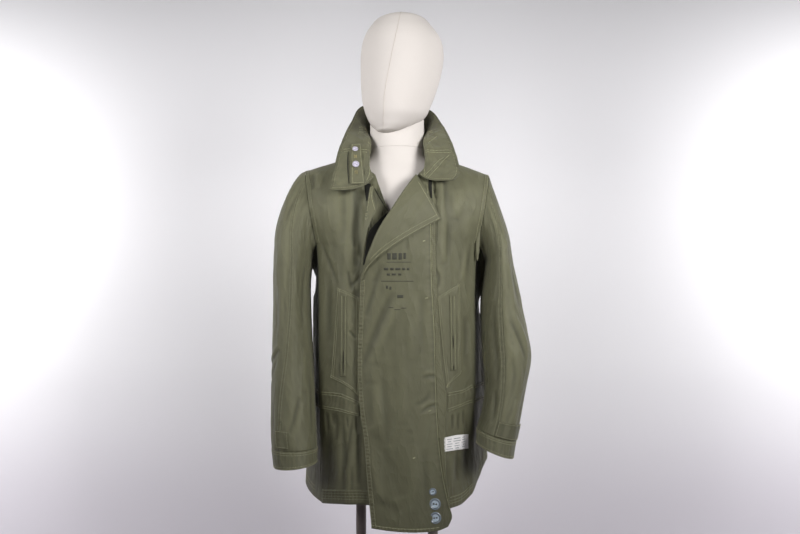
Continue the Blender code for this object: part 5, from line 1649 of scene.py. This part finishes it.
# === the sleeves
# Each sleeve is cut in two halves that meet in a double-stitched seam down the
# front of the arm and in one under the arm. They hang empty in soft folds.
SLEEVES = {
    "right": {
        "sign": -1,
        "head": (0.021, -0.002),
        "cap_rise": 0.07,
        "rows": (
            # z at the middle, outer and inner x, middle y, half depth, rise of the inner side
            (0.828, 0.263, 0.183, -0.006, 0.086, -0.02),
            (0.78, 0.265, 0.187, -0.01, 0.085, -0.006),
            (0.729, 0.265, 0.187, -0.015, 0.081, 0.0),
            (0.664, 0.266, 0.184, -0.022, 0.077, 0.0),
            (0.609, 0.266, 0.181, -0.03, 0.074, 0.0),
            (0.548, 0.266, 0.177, -0.044, 0.07, 0.0),
            (0.479, 0.264, 0.172, -0.062, 0.066, 0.0),
            (0.437, 0.261, 0.169, -0.073, 0.063, 0.0),
            (0.42, 0.259, 0.168, -0.077, 0.062, 0.0),
            (0.39, 0.254, 0.168, -0.086, 0.06, 0.004),
        ),
        "cuff_from": 0.425,
        "overarm": (
            (0.0, 0.125), (0.25, 0.25), (0.4, 0.262), (0.6, 0.225), (0.8, 0.165), (1.0, 0.13),
        ),
        "folds": (
            # thousandths: from k v, bending at k v, to k v; mm: width, depth
            (55, 30, 85, 90, 100, 160, 8, 2.7),
            (160, 40, 180, 110, 170, 190, 9, -2.4),
            (390, 270, 385, 400, 370, 545, 8, -3.2),
            (134, 395, 130, 490, 140, 600, 12, -2.2),
            (190, 330, 200, 430, 190, 540, 9, 2.2),
            (310, 300, 300, 420, 320, 560, 10, 2.0),
            (10, 675, 80, 650, 180, 605, 5, -2.4),
            (0, 735, 70, 700, 160, 635, 5, -2.7),
            (20, 660, 90, 635, 170, 590, 6, 2.2),
            (335, 765, 300, 820, 245, 885, 9, -3.8),
            (420, 700, 430, 800, 420, 900, 8, -2.4),
            (380, 600, 360, 680, 370, 750, 8, 2.2),
            (100, 780, 110, 840, 90, 900, 8, -2.4),
            (560, 300, 580, 450, 560, 600, 14, -4.1),
            (680, 250, 660, 420, 690, 620, 16, 4.3),
            (800, 300, 820, 480, 790, 700, 15, -4.1),
            (860, 320, 850, 500, 870, 720, 13, 3.2),
            (620, 680, 700, 720, 780, 700, 8, -3.5),
            (640, 800, 720, 830, 820, 800, 9, -3.2),
        ),
        "seed": 41.0,
    },
    "left": {
        "sign": 1,
        "head": (0.003, -0.017),
        "cap_rise": 0.03,
        "rows": (
            (0.828, 0.244, 0.192, -0.006, 0.086, -0.02),
            (0.78, 0.254, 0.187, -0.01, 0.085, -0.006),
            (0.729, 0.266, 0.181, -0.015, 0.081, 0.0),
            (0.664, 0.28, 0.181, -0.022, 0.077, 0.0),
            (0.609, 0.287, 0.184, -0.03, 0.074, 0.0),
            (0.548, 0.274, 0.188, -0.042, 0.07, 0.004),
            (0.479, 0.257, 0.179, -0.06, 0.066, 0.01),
            (0.445, 0.248, 0.169, -0.07, 0.064, 0.012),
            (0.418, 0.242, 0.168, -0.08, 0.062, 0.014),
        ),
        "cuff_from": 0.451,
        "overarm": (
            (0.0, 0.125), (0.25, 0.25), (0.4, 0.265), (0.6, 0.285), (0.8, 0.285), (1.0, 0.28),
        ),
        "folds": (
            (170, 220, 180, 250, 160, 290, 8, 2.7),
            (200, 60, 210, 120, 190, 200, 8, -2.4),
            (420, 560, 470, 600, 430, 640, 4, -2.4),
            (430, 640, 480, 680, 430, 720, 4, 2.4),
            (430, 710, 470, 740, 430, 770, 4, -2.4),
            (200, 490, 140, 560, 90, 650, 7, 3.5),
            (225, 520, 170, 600, 130, 680, 7, -2.7),
            (242, 610, 200, 690, 152, 770, 9, 2.4),
            (120, 330, 125, 400, 110, 480, 8, -2.4),
            (170, 320, 175, 400, 170, 470, 8, 2.0),
            (60, 340, 55, 420, 60, 500, 8, 2.0),
            (100, 770, 90, 830, 110, 900, 9, -2.7),
            (180, 800, 180, 850, 200, 900, 8, 2.4),
            (340, 450, 350, 600, 340, 760, 9, -2.7),
            (360, 780, 340, 840, 350, 900, 8, -3.2),
            (560, 300, 580, 450, 560, 600, 14, -4.1),
            (690, 250, 660, 420, 690, 620, 16, 4.3),
            (800, 300, 820, 480, 790, 700, 15, -4.1),
            (860, 320, 850, 500, 870, 720, 13, 3.2),
            (640, 700, 720, 740, 800, 710, 8, -3.5),
        ),
        "seed": 47.0,
    },
}
CAP_SHARE = 0.28
CAP_FULLNESS = 0.12
CAP_RISE_UNDER = 0.015
ARMHOLE_GAP = 0.0009
SEAM_GAP = 0.0006
UNDERARM_REACH = (0.01, -0.014)
ARMHOLE_MIDDLE = (0.184, 0.0, 0.925)
SLEEVE_CUTS = {
    # length, widths of the front and back halves, their areas
    "right": (0.6, (0.17, 0.27), (0.06, 0.11)),
    "left": (0.58, (0.16, 0.27), (0.048, 0.11)),
}
# Metres of cloth for one unit of k round a sleeve and for one unit of v down it.
SLEEVE_SCALE = (0.4, 0.6)


def armhole_ring(k, sign):
    """Places round the armhole: k is 0 at the shoulder, 0.5 underarm, 1 back at the shoulder."""
    k = np.mod(np.asarray(k, float), 1)
    share = np.linspace(0, 0.5, 201)
    ahead, behind = (
        np.stack([np.interp(way, share, line[:, i]) for i in range(3)], axis=-1)
        for way, line in zip((k, 1 - k), armhole_lines[sign])
    )
    return np.where((k <= 0.5)[..., None], ahead, behind)


def section_point(rows, sign, z, k):
    """A place on the sleeve's level section: k is 0 outside, 0.25 in front and 0.5 inside."""
    outer, inner, middle_y, depth, rise = columns_at(sorted(rows), z)
    turn = 2 * np.pi * k
    x = (outer + inner) / 2 + (outer - inner) / 2 * np.cos(turn)
    return np.stack([sign * x, middle_y - depth * np.sin(turn), z - rise * np.cos(turn)], axis=-1)


def sleeve_point(side, k, v):
    """A place on a sleeve: v is 0 at the armhole and 1 at the cuff's lower edge."""
    sleeve = SLEEVES[side]
    sign = sleeve["sign"]
    rows = sleeve["rows"]
    k, v = np.broadcast_arrays(np.asarray(k, float), np.asarray(v, float))
    top = rows[0][0]
    foot = rows[-1][0]
    down = np.clip((v - CAP_SHARE) / (1 - CAP_SHARE), 0, 1)
    tube = section_point(rows, sign, top + (foot - top) * down, k)
    start = armhole_ring(k, sign)
    high = (1 + np.cos(2 * np.pi * k)) / 2
    reach = [sleeve["head"][i] * high + UNDERARM_REACH[i] * (1 - high) for i in (0, 1)]
    first = start + np.stack([sign * reach[0], start[..., 1] * CAP_FULLNESS, reach[1]], axis=-1)
    end = section_point(rows, sign, np.full(k.shape, top), k)
    rise = CAP_RISE_UNDER + (sleeve["cap_rise"] - CAP_RISE_UNDER) * high
    second = end + np.stack([0 * k, 0 * k, rise], axis=-1)
    t = np.clip(v / CAP_SHARE, 0, 1)[..., None]
    cap = (1 - t) ** 3 * start + 3 * t * (1 - t) ** 2 * first + 3 * t**2 * (1 - t) * second + t**3 * end
    inward = np.array(ARMHOLE_MIDDLE) * (sign, 1, 1) - start
    inward = inward / np.linalg.norm(inward, axis=-1, keepdims=True)
    away = inward * SEAM_GAP * high[..., None] + np.array([sign * ARMHOLE_GAP, 0, 0])
    cap = cap + (1 - t) * away
    return np.where((v < CAP_SHARE)[..., None], cap, tube)


def seam_k(side, v):
    """Where the overarm seam lies round the sleeve."""
    return smooth_rows(SLEEVES[side]["overarm"], v)[..., 0]


def v_at(side, z):
    rows = SLEEVES[side]["rows"]
    return CAP_SHARE + (1 - CAP_SHARE) * (rows[0][0] - z) / (rows[0][0] - rows[-1][0])


def sleeve_relief(side):
    sleeve = SLEEVES[side]
    down = np.linspace(0, 1, 40)
    path = np.column_stack([seam_k(side, down) + 0.015, down])

    def relief(k, v):
        k = np.mod(k + 0.05, 1) - 0.05
        own = folds(k, v, sleeve["folds"], SLEEVE_SCALE)
        turn = 2 * np.pi * k
        # The unevenness is read round a circle, so that it closes on itself.
        round_x = 0.1 * np.cos(turn) + 0.02 * np.sin(turn)
        own = own + hang(round_x, 0.6 * v + 0.05 * np.sin(turn), sleeve["seed"]) * 0.9
        to_seam = np.minimum(np.abs(k - seam_k(side, v)), np.abs(np.abs(k - 0.5)))
        calm = 0.25 + 0.75 * smoothstep(to_seam, 0.0, 0.035)
        drawn = pucker(k, v, [path], SLEEVE_SCALE)
        return own * calm * smoothstep(v, 0.0, 0.05) + drawn * smoothstep(v, 0.02, 0.06)

    return relief


armhole_lines = {
    sign: [
        place(*along(armhole_of(table, sign), 200, place).T)
        for table, place in ((ARMHOLE_FRONT, front_place), (ARMHOLE_BACK, back_place))
    ]
    for sign in (-1, 1)
}
sleeve_skins = {}
OVERARM_ROWS = (0.006, 0.024)
UNDERARM_ROW = 0.488
UNDERARM_FROM = 60
for side, sleeve in SLEEVES.items():
    facing = sleeve["sign"]
    sleeve_skin = skin(
        lambda k, v, side=side: sleeve_point(side, k, v), sleeve_relief(side), facing
    )
    sleeve_skins[side] = sleeve_skin
    cuff_v = v_at(side, sleeve["cuff_from"])
    v = np.linspace(0, cuff_v, 231)[:, None]
    seam = seam_k(side, v)
    ahead = seam + (0.5 - seam) * np.linspace(0, 1, 61)[None, :]
    behind = 0.5 + (0.5 + seam) * np.linspace(0, 1, 101)[None, :]
    down = np.linspace(0.01, cuff_v - 0.004, 200)
    low = down[UNDERARM_FROM:]
    paths = [np.column_stack([seam_k(side, down) + offset, down]) for offset in OVERARM_ROWS]
    paths.append(np.column_stack([UNDERARM_ROW + 0 * low, low]))
    rows = [seam_row(sleeve_skin, path) for path in paths]
    front_stitches = sewn(f"stitches_sleeve_{side}", rows, colour=dull_thread)
    length, widths, areas = SLEEVE_CUTS[side]
    cloth(f"sleeve_{side}_front", sleeve_skin(ahead, v), cotton, flat=(widths[0], length),
          turned=-facing)
    cloth(f"sleeve_{side}_back", sleeve_skin(behind, v), cotton, flat=(widths[1], length),
          turned=-facing)

# === cuffs and their tabs
# A band of doubled cotton closes each sleeve, stitched along both edges. A
# short tab lies across the join and buttons over to narrow the cuff.
CUFF_TABS = {
    # k of the two ends, z of the upper and lower edges, flat size
    "right": (0.135, 0.232, 0.466, 0.43, (0.04, 0.035)),
    "left": (0.03, 0.29, 0.482, 0.452, (0.09, 0.035)),
}
CUFF_GAP = 0.001
CUFF_STEPS = 24
CUFF_RIPPLES = 34
CUFF_STITCH_ROWS = (2, 5, -4, -2)
TAB_INSET = 0.006
TAB_LIFT = LAYER + 0.0012
for side, sleeve in SLEEVES.items():
    carrier = sleeve_skins[side]
    cuff_v = v_at(side, sleeve["cuff_from"])
    share = np.linspace(0, 1, CUFF_STEPS + 1)
    v = (cuff_v + CUFF_GAP + (1 - cuff_v - CUFF_GAP) * share)[:, None]
    k = np.linspace(0, 1, 200, endpoint=False)[None, :]
    crown = 0.0008 - 0.0008 * np.abs(2 * share - 1) ** 8
    wave = np.sin(k * 2 * np.pi * CUFF_RIPPLES + 2.0 * np.sin(k * 2 * np.pi * 5))
    grid = carrier(k, v, crown[:, None] + 0.00035 * wave * (1 - share[:, None]))
    rows = [carrier(np.linspace(0, 1, 400), v[row], 0.0015) for row in CUFF_STITCH_ROWS]
    stitches = sewn(f"stitches_cuff_{side}", rows)
    cloth(f"cuff_{side}", grid, cotton, flat=(0.35, 0.04), closed=True,
          turned=-sleeve["sign"])
    k_from, k_to, z_top, z_foot, size = CUFF_TABS[side]
    tab_k = np.linspace(k_from, k_to, 51)[None, :]
    tab_v = np.linspace(v_at(side, z_top), v_at(side, z_foot), 31)[:, None]
    tab_grid = carrier(tab_k, tab_v, TAB_LIFT)
    k = np.linspace(k_from + TAB_INSET, k_to - TAB_INSET, 40)
    v = np.linspace(tab_v[2, 0], tab_v[-3, 0], 20)
    outline = [
        carrier(*path, TAB_LIFT + 0.0007) for path in ((k, v[0]), (k, v[-1]), (k[0], v), (k[-1], v))
    ]
    stitches = sewn(f"stitches_cuff_tab_{side}", outline, pitch=0.0028)
    cloth(f"cuff_tab_{side}", tab_grid, cotton, flat=size,
          wall=TRIM_WALL)

# === the collar
# A broad collar with two long leaves, turned inside out, so that the under
# side with its zig-zag rows and seams shows. Its rim is edge stitched.
COLLAR_WALL = 0.002
COLLAR = (
    # share, then x y z of the base, of the point that pulls the fold out, and of the rim
    (0.00, -0.047, -0.086, 0.993, -0.06, -0.11, 0.952, -0.139, -0.112, 0.959),
    (0.13, -0.063, -0.069, 1.009, -0.04, -0.092, 1.056, -0.129, -0.08, 1.015),
    (0.24, -0.072, -0.0395, 1.033, -0.024, -0.048, 1.096, -0.118, -0.04, 1.067),
    (0.33, -0.0735, 0.002, 1.043, -0.041, 0.000, 1.106, -0.101, 0.01, 1.115),
    (0.41, -0.061, 0.049, 1.048, -0.06, 0.052, 1.112, -0.078, 0.06, 1.16),
    (0.5, 0.000, 0.0845, 1.059, 0.000, 0.082, 1.114, 0.000, 0.11, 1.166),
    (0.59, 0.061, 0.049, 1.048, 0.058, 0.052, 1.112, 0.072, 0.06, 1.152),
    (0.67, 0.0735, 0.002, 1.043, 0.043, 0.000, 1.106, 0.1, 0.01, 1.109),
    (0.76, 0.072, -0.0395, 1.033, 0.026, -0.048, 1.094, 0.117, -0.04, 1.065),
    (0.87, 0.064, -0.068, 1.009, 0.042, -0.09, 1.054, 0.13, -0.078, 1.012),
    (0.95, 0.053, -0.079, 1.000, 0.054, -0.1, 1.003, 0.129, -0.096, 0.992),
    (1.00, 0.046, -0.086, 0.996, 0.058, -0.106, 0.972, 0.118, -0.104, 0.98),
)
# Metres of cloth for one unit of share and for one unit of s.
COLLAR_SCALE = (0.55, 0.13)
COLLAR_COLUMNS = 280
COLLAR_ROWS = 64
COLLAR_FOLDS = (
    # thousandths: from share s, bending at share s, to share s; mm: width, depth
    (20, 300, 50, 550, 30, 950, 8, 0.8),
    (110, 250, 120, 500, 100, 900, 9, -0.9),
    (200, 300, 230, 600, 210, 950, 9, 0.9),
    (290, 200, 310, 550, 290, 950, 10, -0.9),
    (400, 200, 410, 550, 400, 950, 14, 1.2),
    (590, 200, 600, 550, 590, 950, 14, -1.2),
    (710, 250, 700, 600, 720, 950, 10, 0.9),
    (790, 250, 780, 600, 800, 950, 9, -0.9),
    (880, 300, 900, 600, 890, 950, 9, 0.8),
    (960, 300, 970, 600, 950, 950, 8, -0.8),
)
# Seams of the under side, by the places x and z where each leaf shows them in front.
LEAF_SEAMS = {
    "right": (
        ((-0.1115, 1.0474), (-0.0742, 1.0451), (-0.0515, 1.0401)),
        ((-0.1115, 1.042), (-0.0742, 1.0405), (-0.0515, 1.0341)),
        ((-0.0602, 1.063), (-0.051, 1.038), (-0.051, 1.022), (-0.056, 1.003), (-0.0624, 0.98)),
    ),
    "left": (
        ((0.0583, 1.041), (0.0805, 1.0435), (0.1123, 1.0463)),
        ((0.0571, 1.0364), (0.08, 1.0388), (0.1113, 1.0403)),
        ((0.1104, 1.0358), (0.088, 1.011), (0.065, 0.9859)),
        ((0.0974, 1.0283), (0.077, 1.01), (0.059, 0.9917)),
        ((0.056, 1.03), (0.058, 1.007), (0.059, 0.99)),
        ((0.0675, 1.064), (0.0765, 1.071), (0.085, 1.0785)),
    ),
}
LEAF_SHARES = {"right": (0.0, 0.33), "left": (0.67, 1.0)}


def collar_point(share, s):
    """A place on the collar: s is 0 at the neck seam and 1 at the outer edge."""
    share, s = np.broadcast_arrays(np.asarray(share, float), np.asarray(s, float))
    row = smooth_rows(COLLAR, share)
    return bend(row[..., 0:3], row[..., 3:6], row[..., 6:9], s[..., None])


def on_leaf(side, points):
    """(share, s) of the places on a leaf that are seen in front at x and z."""
    share, s = np.meshgrid(np.linspace(*LEAF_SHARES[side], 260), np.linspace(0.22, 1, 180), indexing="ij")
    places = collar_point(share, s)
    found = []
    for x, z in points:
        gap = (places[..., 0] - x) ** 2 + (places[..., 2] - z) ** 2
        nearest = np.unravel_index(np.argmin(gap), gap.shape)
        found.append((share[nearest], s[nearest]))
    return found


COLLAR_SEAMS = [on_leaf(side, path) for side, paths in LEAF_SEAMS.items() for path in paths]


def collar_relief(share, s):
    own = folds(share, s, COLLAR_FOLDS, COLLAR_SCALE)
    own = own + rumple(share * 34, s * 7, 61.0) * 0.0007 + rumple(share * 60, s * 15, 65.0) * 0.00024
    rim = [(place, 0.97) for place in np.linspace(0.0, 1.0, 30)]
    return own + pucker(share, s, [*COLLAR_SEAMS, rim], COLLAR_SCALE)


ZIGZAG_REACH = 0.0016


def zigzag(shares, s_ends, step):
    """A zig-zag path over the collar between two shares, at s values that change evenly."""
    first, last = shares
    count = int(abs(last - first) * COLLAR_SCALE[0] / step)
    swing = np.where(np.arange(count + 1) % 2, ZIGZAG_REACH, -ZIGZAG_REACH) / COLLAR_SCALE[1]
    return np.column_stack([np.linspace(first, last, count + 1), np.linspace(*s_ends, count + 1) + swing])


collar_skin = skin(collar_point, collar_relief, 1)
collar_share = np.linspace(0, 1, COLLAR_COLUMNS + 1)[None, :]
collar_s = np.linspace(0, 1, COLLAR_ROWS + 1)[:, None]
rim_lift = COLLAR_WALL / 2 + 0.0001
RIM_ROW_S = 0.955
rim_paths = [[(share, RIM_ROW_S) for share in np.linspace(0.012, 0.988, 60)]]
rim_paths += [[(end, s) for s in np.linspace(0.12, RIM_ROW_S, 20)] for end in (0.01, 0.99)]
rim_rows = [seam_row(collar_skin, path, rim_lift) for path in rim_paths]
collar_rows = [seam_row(collar_skin, path, rim_lift) for path in COLLAR_SEAMS]
# Zig-zag patches at the top of the leaves, inside: middle x, z of the lowest row.
ZIGZAG_PATCHES = {"right": (-0.074, 1.086), "left": (0.0655, 1.088)}
patch_rows = []
for side, (x, z) in ZIGZAG_PATCHES.items():
    for row in range(6):
        ends = on_leaf(side, [(x - 0.009, z + 0.005 * row), (x + 0.009, z + 0.005 * row)])
        path = zigzag(*zip(*ends), 0.0022)
        patch_rows.append(collar_skin(*path.T, rim_lift))
zigzag_rows = []
for row in range(5):
    s = 0.3 + 0.115 * row
    for shares in ((0.03 + 0.012 * row, 0.33), (0.67, 0.97 - 0.012 * row)):
        path = zigzag(shares, (s, s + 0.02), 0.0032)
        zigzag_rows.append(collar_skin(*path.T, rim_lift))
collar_stitches = [
    sewn("stitches_collar", collar_rows, colour=bright_thread),
    sewn("stitches_collar_rim", rim_rows, **LADDER),
    sewn("zigzag_patches", patch_rows, pitch=0.003, thread=0.00055, cover=0.9),
]
# A thin near-black strip of painted shadow stands for the shade in the slot beside the throat tab.
collar_slot = band(
    "collar_slot", collar_skin, on_leaf("right", [(-0.1022, 1.042), (-0.103, 1.01), (-0.1, 0.972)]),
    on_leaf("right", [(-0.1014, 1.042), (-0.1002, 1.01), (-0.0984, 0.972)]), 50,
    lift=rim_lift + 0.0002, wall=SHADOW_SHEET_WALL, material=painted_shadow,
)
collar_zigzag = sewn("zigzag_collar", zigzag_rows, pitch=0.0034, thread=0.00022, cover=0.8, colour=cotton)
cloth("collar", collar_skin(collar_share, collar_s), cotton, flat=(0.55, 0.14),
      wall=COLLAR_WALL, turned=-1)

# === throat tab and its buttons
# A narrow doubled strip runs down the right leaf. It closes the throat, and
# has two pale lilac buttons and two worked buttonholes in yellowish thread.
# Corners of the tab in x and z: upper outer and inner, then lower outer and inner.
THROAT_TAB = ((-0.097, 1.0567), (-0.0742, 1.0567), (-0.096, 0.97), (-0.066, 0.9725))
THROAT_TAB_LIFT = COLLAR_WALL / 2 + 0.0012 + 0.0006
TAB_ROW_T = (0.03, 0.97)
TAB_ROW_SIDE = (-0.72, 0.72)
COLLAR_BUTTONS = (
    # t down the tab, radius, thickness, turn of the thread bar in degrees
    (0.198, 0.0062, 0.0025, 30),
    (0.59, 0.0072, 0.0028, -25),
)
TAB_BUTTONHOLES = (0.395, 0.755)
TAB_MIDDLE = -0.22
TAB_CORNERS = np.array(on_leaf("right", THROAT_TAB))


def tab_flat(t, side):
    """(share, s) on the collar under the tab: t runs down it, side from -1 to 1 across."""
    t, side = np.broadcast_arrays(np.asarray(t, float), np.asarray(side, float))
    across = (side + 1) / 2
    weights = ((1 - t) * (1 - across), (1 - t) * across, t * (1 - across), t * across)
    share, s = sum(weight[..., None] * corner for weight, corner in zip(weights, TAB_CORNERS)).T
    return share.T, s.T


def tab_skin(t, side, lift=0.0):
    share, s = tab_flat(t, side)
    return collar_skin(share, s, THROAT_TAB_LIFT + lift)


buttonhole_thread = fabric_material("buttonhole_thread", (0.52, 0.43, 0.19), 0.75, 0.0004, mottle=0.05)
tab_t = np.linspace(0, 1, 91)[:, None]
tab_side = np.linspace(-1, 1, 21)[None, :]
tab_rows = [tab_skin(np.linspace(*TAB_ROW_T, 60), side, 0.0007) for side in TAB_ROW_SIDE]
tab_rows += [tab_skin(t, np.linspace(*TAB_ROW_SIDE, 20), 0.0007) for t in TAB_ROW_T]
tab_pieces = [sewn("stitches_throat_tab", tab_rows, pitch=0.0028)]
for number, t in enumerate(TAB_BUTTONHOLES, 1):
    reach = t + np.linspace(-0.035, 0.035, 24)
    lips = [tab_skin(reach, TAB_MIDDLE + side, 0.0008) for side in (-0.16, 0.0, 0.16)]
    name = f"buttonhole_tab_{number}"
    tab_pieces.append(sewn(name, lips, pitch=0.0011, thread=0.0006, colour=buttonhole_thread))
tab_edge = 0.0006 * (1 - np.abs(tab_side) ** 6)
cloth("throat_tab", tab_skin(tab_t, tab_side, tab_edge - 0.0003 + 0 * tab_t), cotton, flat=(0.023, 0.11),
      wall=TRIM_WALL)
# Its last two numbers paint shade into the groove and a reflection into the dish.
button_pale = gloss_material("button_pale", (0.56, 0.53, 0.64), (0.44, 0.41, 0.5), 0.28, 0.62, 1.15)
for number, (t, radius, thickness, twist) in enumerate(COLLAR_BUTTONS, 1):
    spread = tab_skin(t + np.array([[-0.05], [0.05]]), TAB_MIDDLE + np.array([[-0.3, 0.3]]))
    outward = np.cross(spread[1, 0] - spread[0, 0], spread[0, 1] - spread[0, 0])
    outward *= -np.sign(outward[1])
    centre = tab_skin(t, TAB_MIDDLE, 0.0006 + 0.0008)
    turned_button(f"collar_button_{number}", centre, outward, radius, thickness, button_pale, "button_pale",
                  f"button_collar_{number}", twist, button_pale)

# === the label
# A small white woven tape is sewn on the left skirt. Its lettering is left
# off; short grey dashes stand in for the lines.
LABEL_TOP = ((0.096, 0.447), (0.124, 0.449), (0.151, 0.446))
LABEL_FOOT = ((0.097, 0.418), (0.124, 0.418), (0.151, 0.416))
LABEL_DASHES = tuple(
    (x, z, width, 0.0011)
    for z, widths in (
        (0.4425, (0.01, 0.014, 0.008)), (0.4375, (0.007, 0.016, 0.01)), (0.4325, (0.012, 0.009, 0.012)),
        (0.4275, (0.009, 0.012, 0.006)), (0.4225, (0.014, 0.008, 0.009)),
    )
    for x, width in zip((0.1075, 0.124, 0.14), widths)
)
label_tape = fabric_material("label_tape", (0.93, 0.91, 0.9), 0.7, 0.0005, mottle=0.03)
dash_ink = fabric_material("label_dashes", (0.26, 0.27, 0.29), 0.8, 0.0005, mottle=0.05)
label_top = along(LABEL_TOP, 40)
label_foot = along(LABEL_FOOT, 40)
label_flat = ruled(label_top, label_foot, 20)
dashes = plates("label_dashes", front_left_skin, LABEL_DASHES, dash_ink, LAYER + 0.0008, wall=0.0002)
label_paths = (label_top[2:-2] - (0, 0.0015), label_foot[2:-2] + (0, 0.0015))
label_rows = [seam_row(front_left_skin, path, ON_TRIM) for path in label_paths]
label_edge = sewn("stitches_label", label_rows, pitch=0.0026, thread=0.00025, colour=label_tape)
cloth("label", laid(front_left_skin, label_flat, LAYER), label_tape, flat=(0.055, 0.03),
      wall=TRIM_WALL, slot="label_cloth")

# === the studio, not the object
# A pale seamless sweep. Two soft boxes look down at the chest from in front and a
# weak one fills the chin from below. One stands at each side, and three light the wall.
SWEEP_FRONT_Y = -2.6
SWEEP_WALL_Y = 0.75
SWEEP_BEND = 0.45
SWEEP_WIDE = 4.0
SWEEP_TOP = 3.0
PAPER_PALE = (0.87, 0.858, 0.88)
# Towards the floor the paper is painted this grey, as shade where the light falls off.
PAPER_PAINTED_SHADE = (0.62, 0.59, 0.64)
PAPER_PAINTED_SHADE_BELOW = 0.05
PAPER_PALE_ABOVE = 0.55


def soft_box(name, place, aim, size, power, spread):
    lamp = bpy.data.lights.new(name, "AREA")
    lamp.shape = "SQUARE"
    lamp.size = size
    lamp.energy = power
    lamp.spread = math.radians(spread)
    box = placed(name, lamp)
    box.location = place
    box.rotation_euler = (Vector(aim) - Vector(place)).to_track_quat("-Z", "Y").to_euler()


def sweep_material():
    """Matt paper, painted darker towards the floor as shade where the light falls off."""
    made, shader, add, wire = node_material("backdrop_paper")
    add("place", "ShaderNodeTexCoord")
    add("split", "ShaderNodeSeparateXYZ")
    rise = add("rise", "ShaderNodeMapRange", interpolation_type="SMOOTHSTEP")
    fill(rise, From_Min=PAPER_PAINTED_SHADE_BELOW, From_Max=PAPER_PALE_ABOVE)
    ramp(add("tone", "ShaderNodeValToRGB"), (0.0, PAPER_PAINTED_SHADE), (1.0, PAPER_PALE))
    wire(
        "place.Object > split.Vector", "split.Z > rise.Value", "rise.Result > tone.Fac",
        "tone.Color > shader.Base Color",
    )
    fill(shader, Roughness=0.95, Specular_IOR_Level=0.1)
    return made


turn = np.linspace(0, np.pi / 2, 16)
profile = [(SWEEP_FRONT_Y, 0.0)]
profile += [(SWEEP_WALL_Y - SWEEP_BEND * (1 - math.sin(t)), SWEEP_BEND * (1 - math.cos(t))) for t in turn]
profile += [(SWEEP_WALL_Y, SWEEP_TOP)]
sweep_grid = np.array([[(x, y, z) for x in (SWEEP_WIDE, -SWEEP_WIDE)] for y, z in profile])
sweep = placed("backdrop", surface_mesh("backdrop", sweep_grid))
sweep.data.materials.append(sweep_material())
sweep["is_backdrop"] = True

LAMPS = (
    # name, place, aim, size, power, spread in degrees
    ("front_left", (-1.2, -1.3, 1.35), (0.0, 0.0, 1.04), 0.7, 2.8, 62),
    ("front_right", (1.2, -1.3, 1.35), (0.0, 0.0, 0.89), 0.7, 4.3, 62),
    ("side_left", (-1.9, -0.6, 1.6), (0.0, 0.0, 1.0), 0.9, 2.3, 100),
    ("side_right", (1.9, -0.6, 1.6), (0.0, 0.0, 1.0), 0.9, 1.5, 100),
    ("wall_left", (-1.6, 0.0, 1.1), (-1.35, 0.75, 0.8), 0.8, 10.0, 130),
    ("wall_right", (1.6, 0.0, 1.1), (1.35, 0.75, 0.8), 0.8, 10.0, 130),
    ("wall_top", (0.0, 0.25, 2.7), (0.0, 0.75, 1.5), 1.6, 3.2, 110),
    ("fill_low", (0.0, -1.7, 0.25), (0.0, 0.0, 1.12), 0.5, 0.2, 40),
)
for row in LAMPS:
    soft_box(*row)
world = bpy.data.worlds.new("studio")
world.use_nodes = True
fill(world.node_tree.nodes["Background"], Color=(0.95, 0.95, 1.0, 1), Strength=0.03)
bpy.context.scene.world = world
bpy.context.scene.view_settings.view_transform = "Standard"

CAMERA_PLACE = (0.0065, -2.03, 0.8)
LENS_MM = 42
SENSOR_MM = 36
lens = bpy.data.cameras.new("camera")
lens.lens = LENS_MM
lens.sensor_width = SENSOR_MM
camera = placed("camera", lens)
camera.location = CAMERA_PLACE
camera.rotation_euler = (math.pi / 2, 0, 0)
bpy.context.scene.camera = camera

low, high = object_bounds()
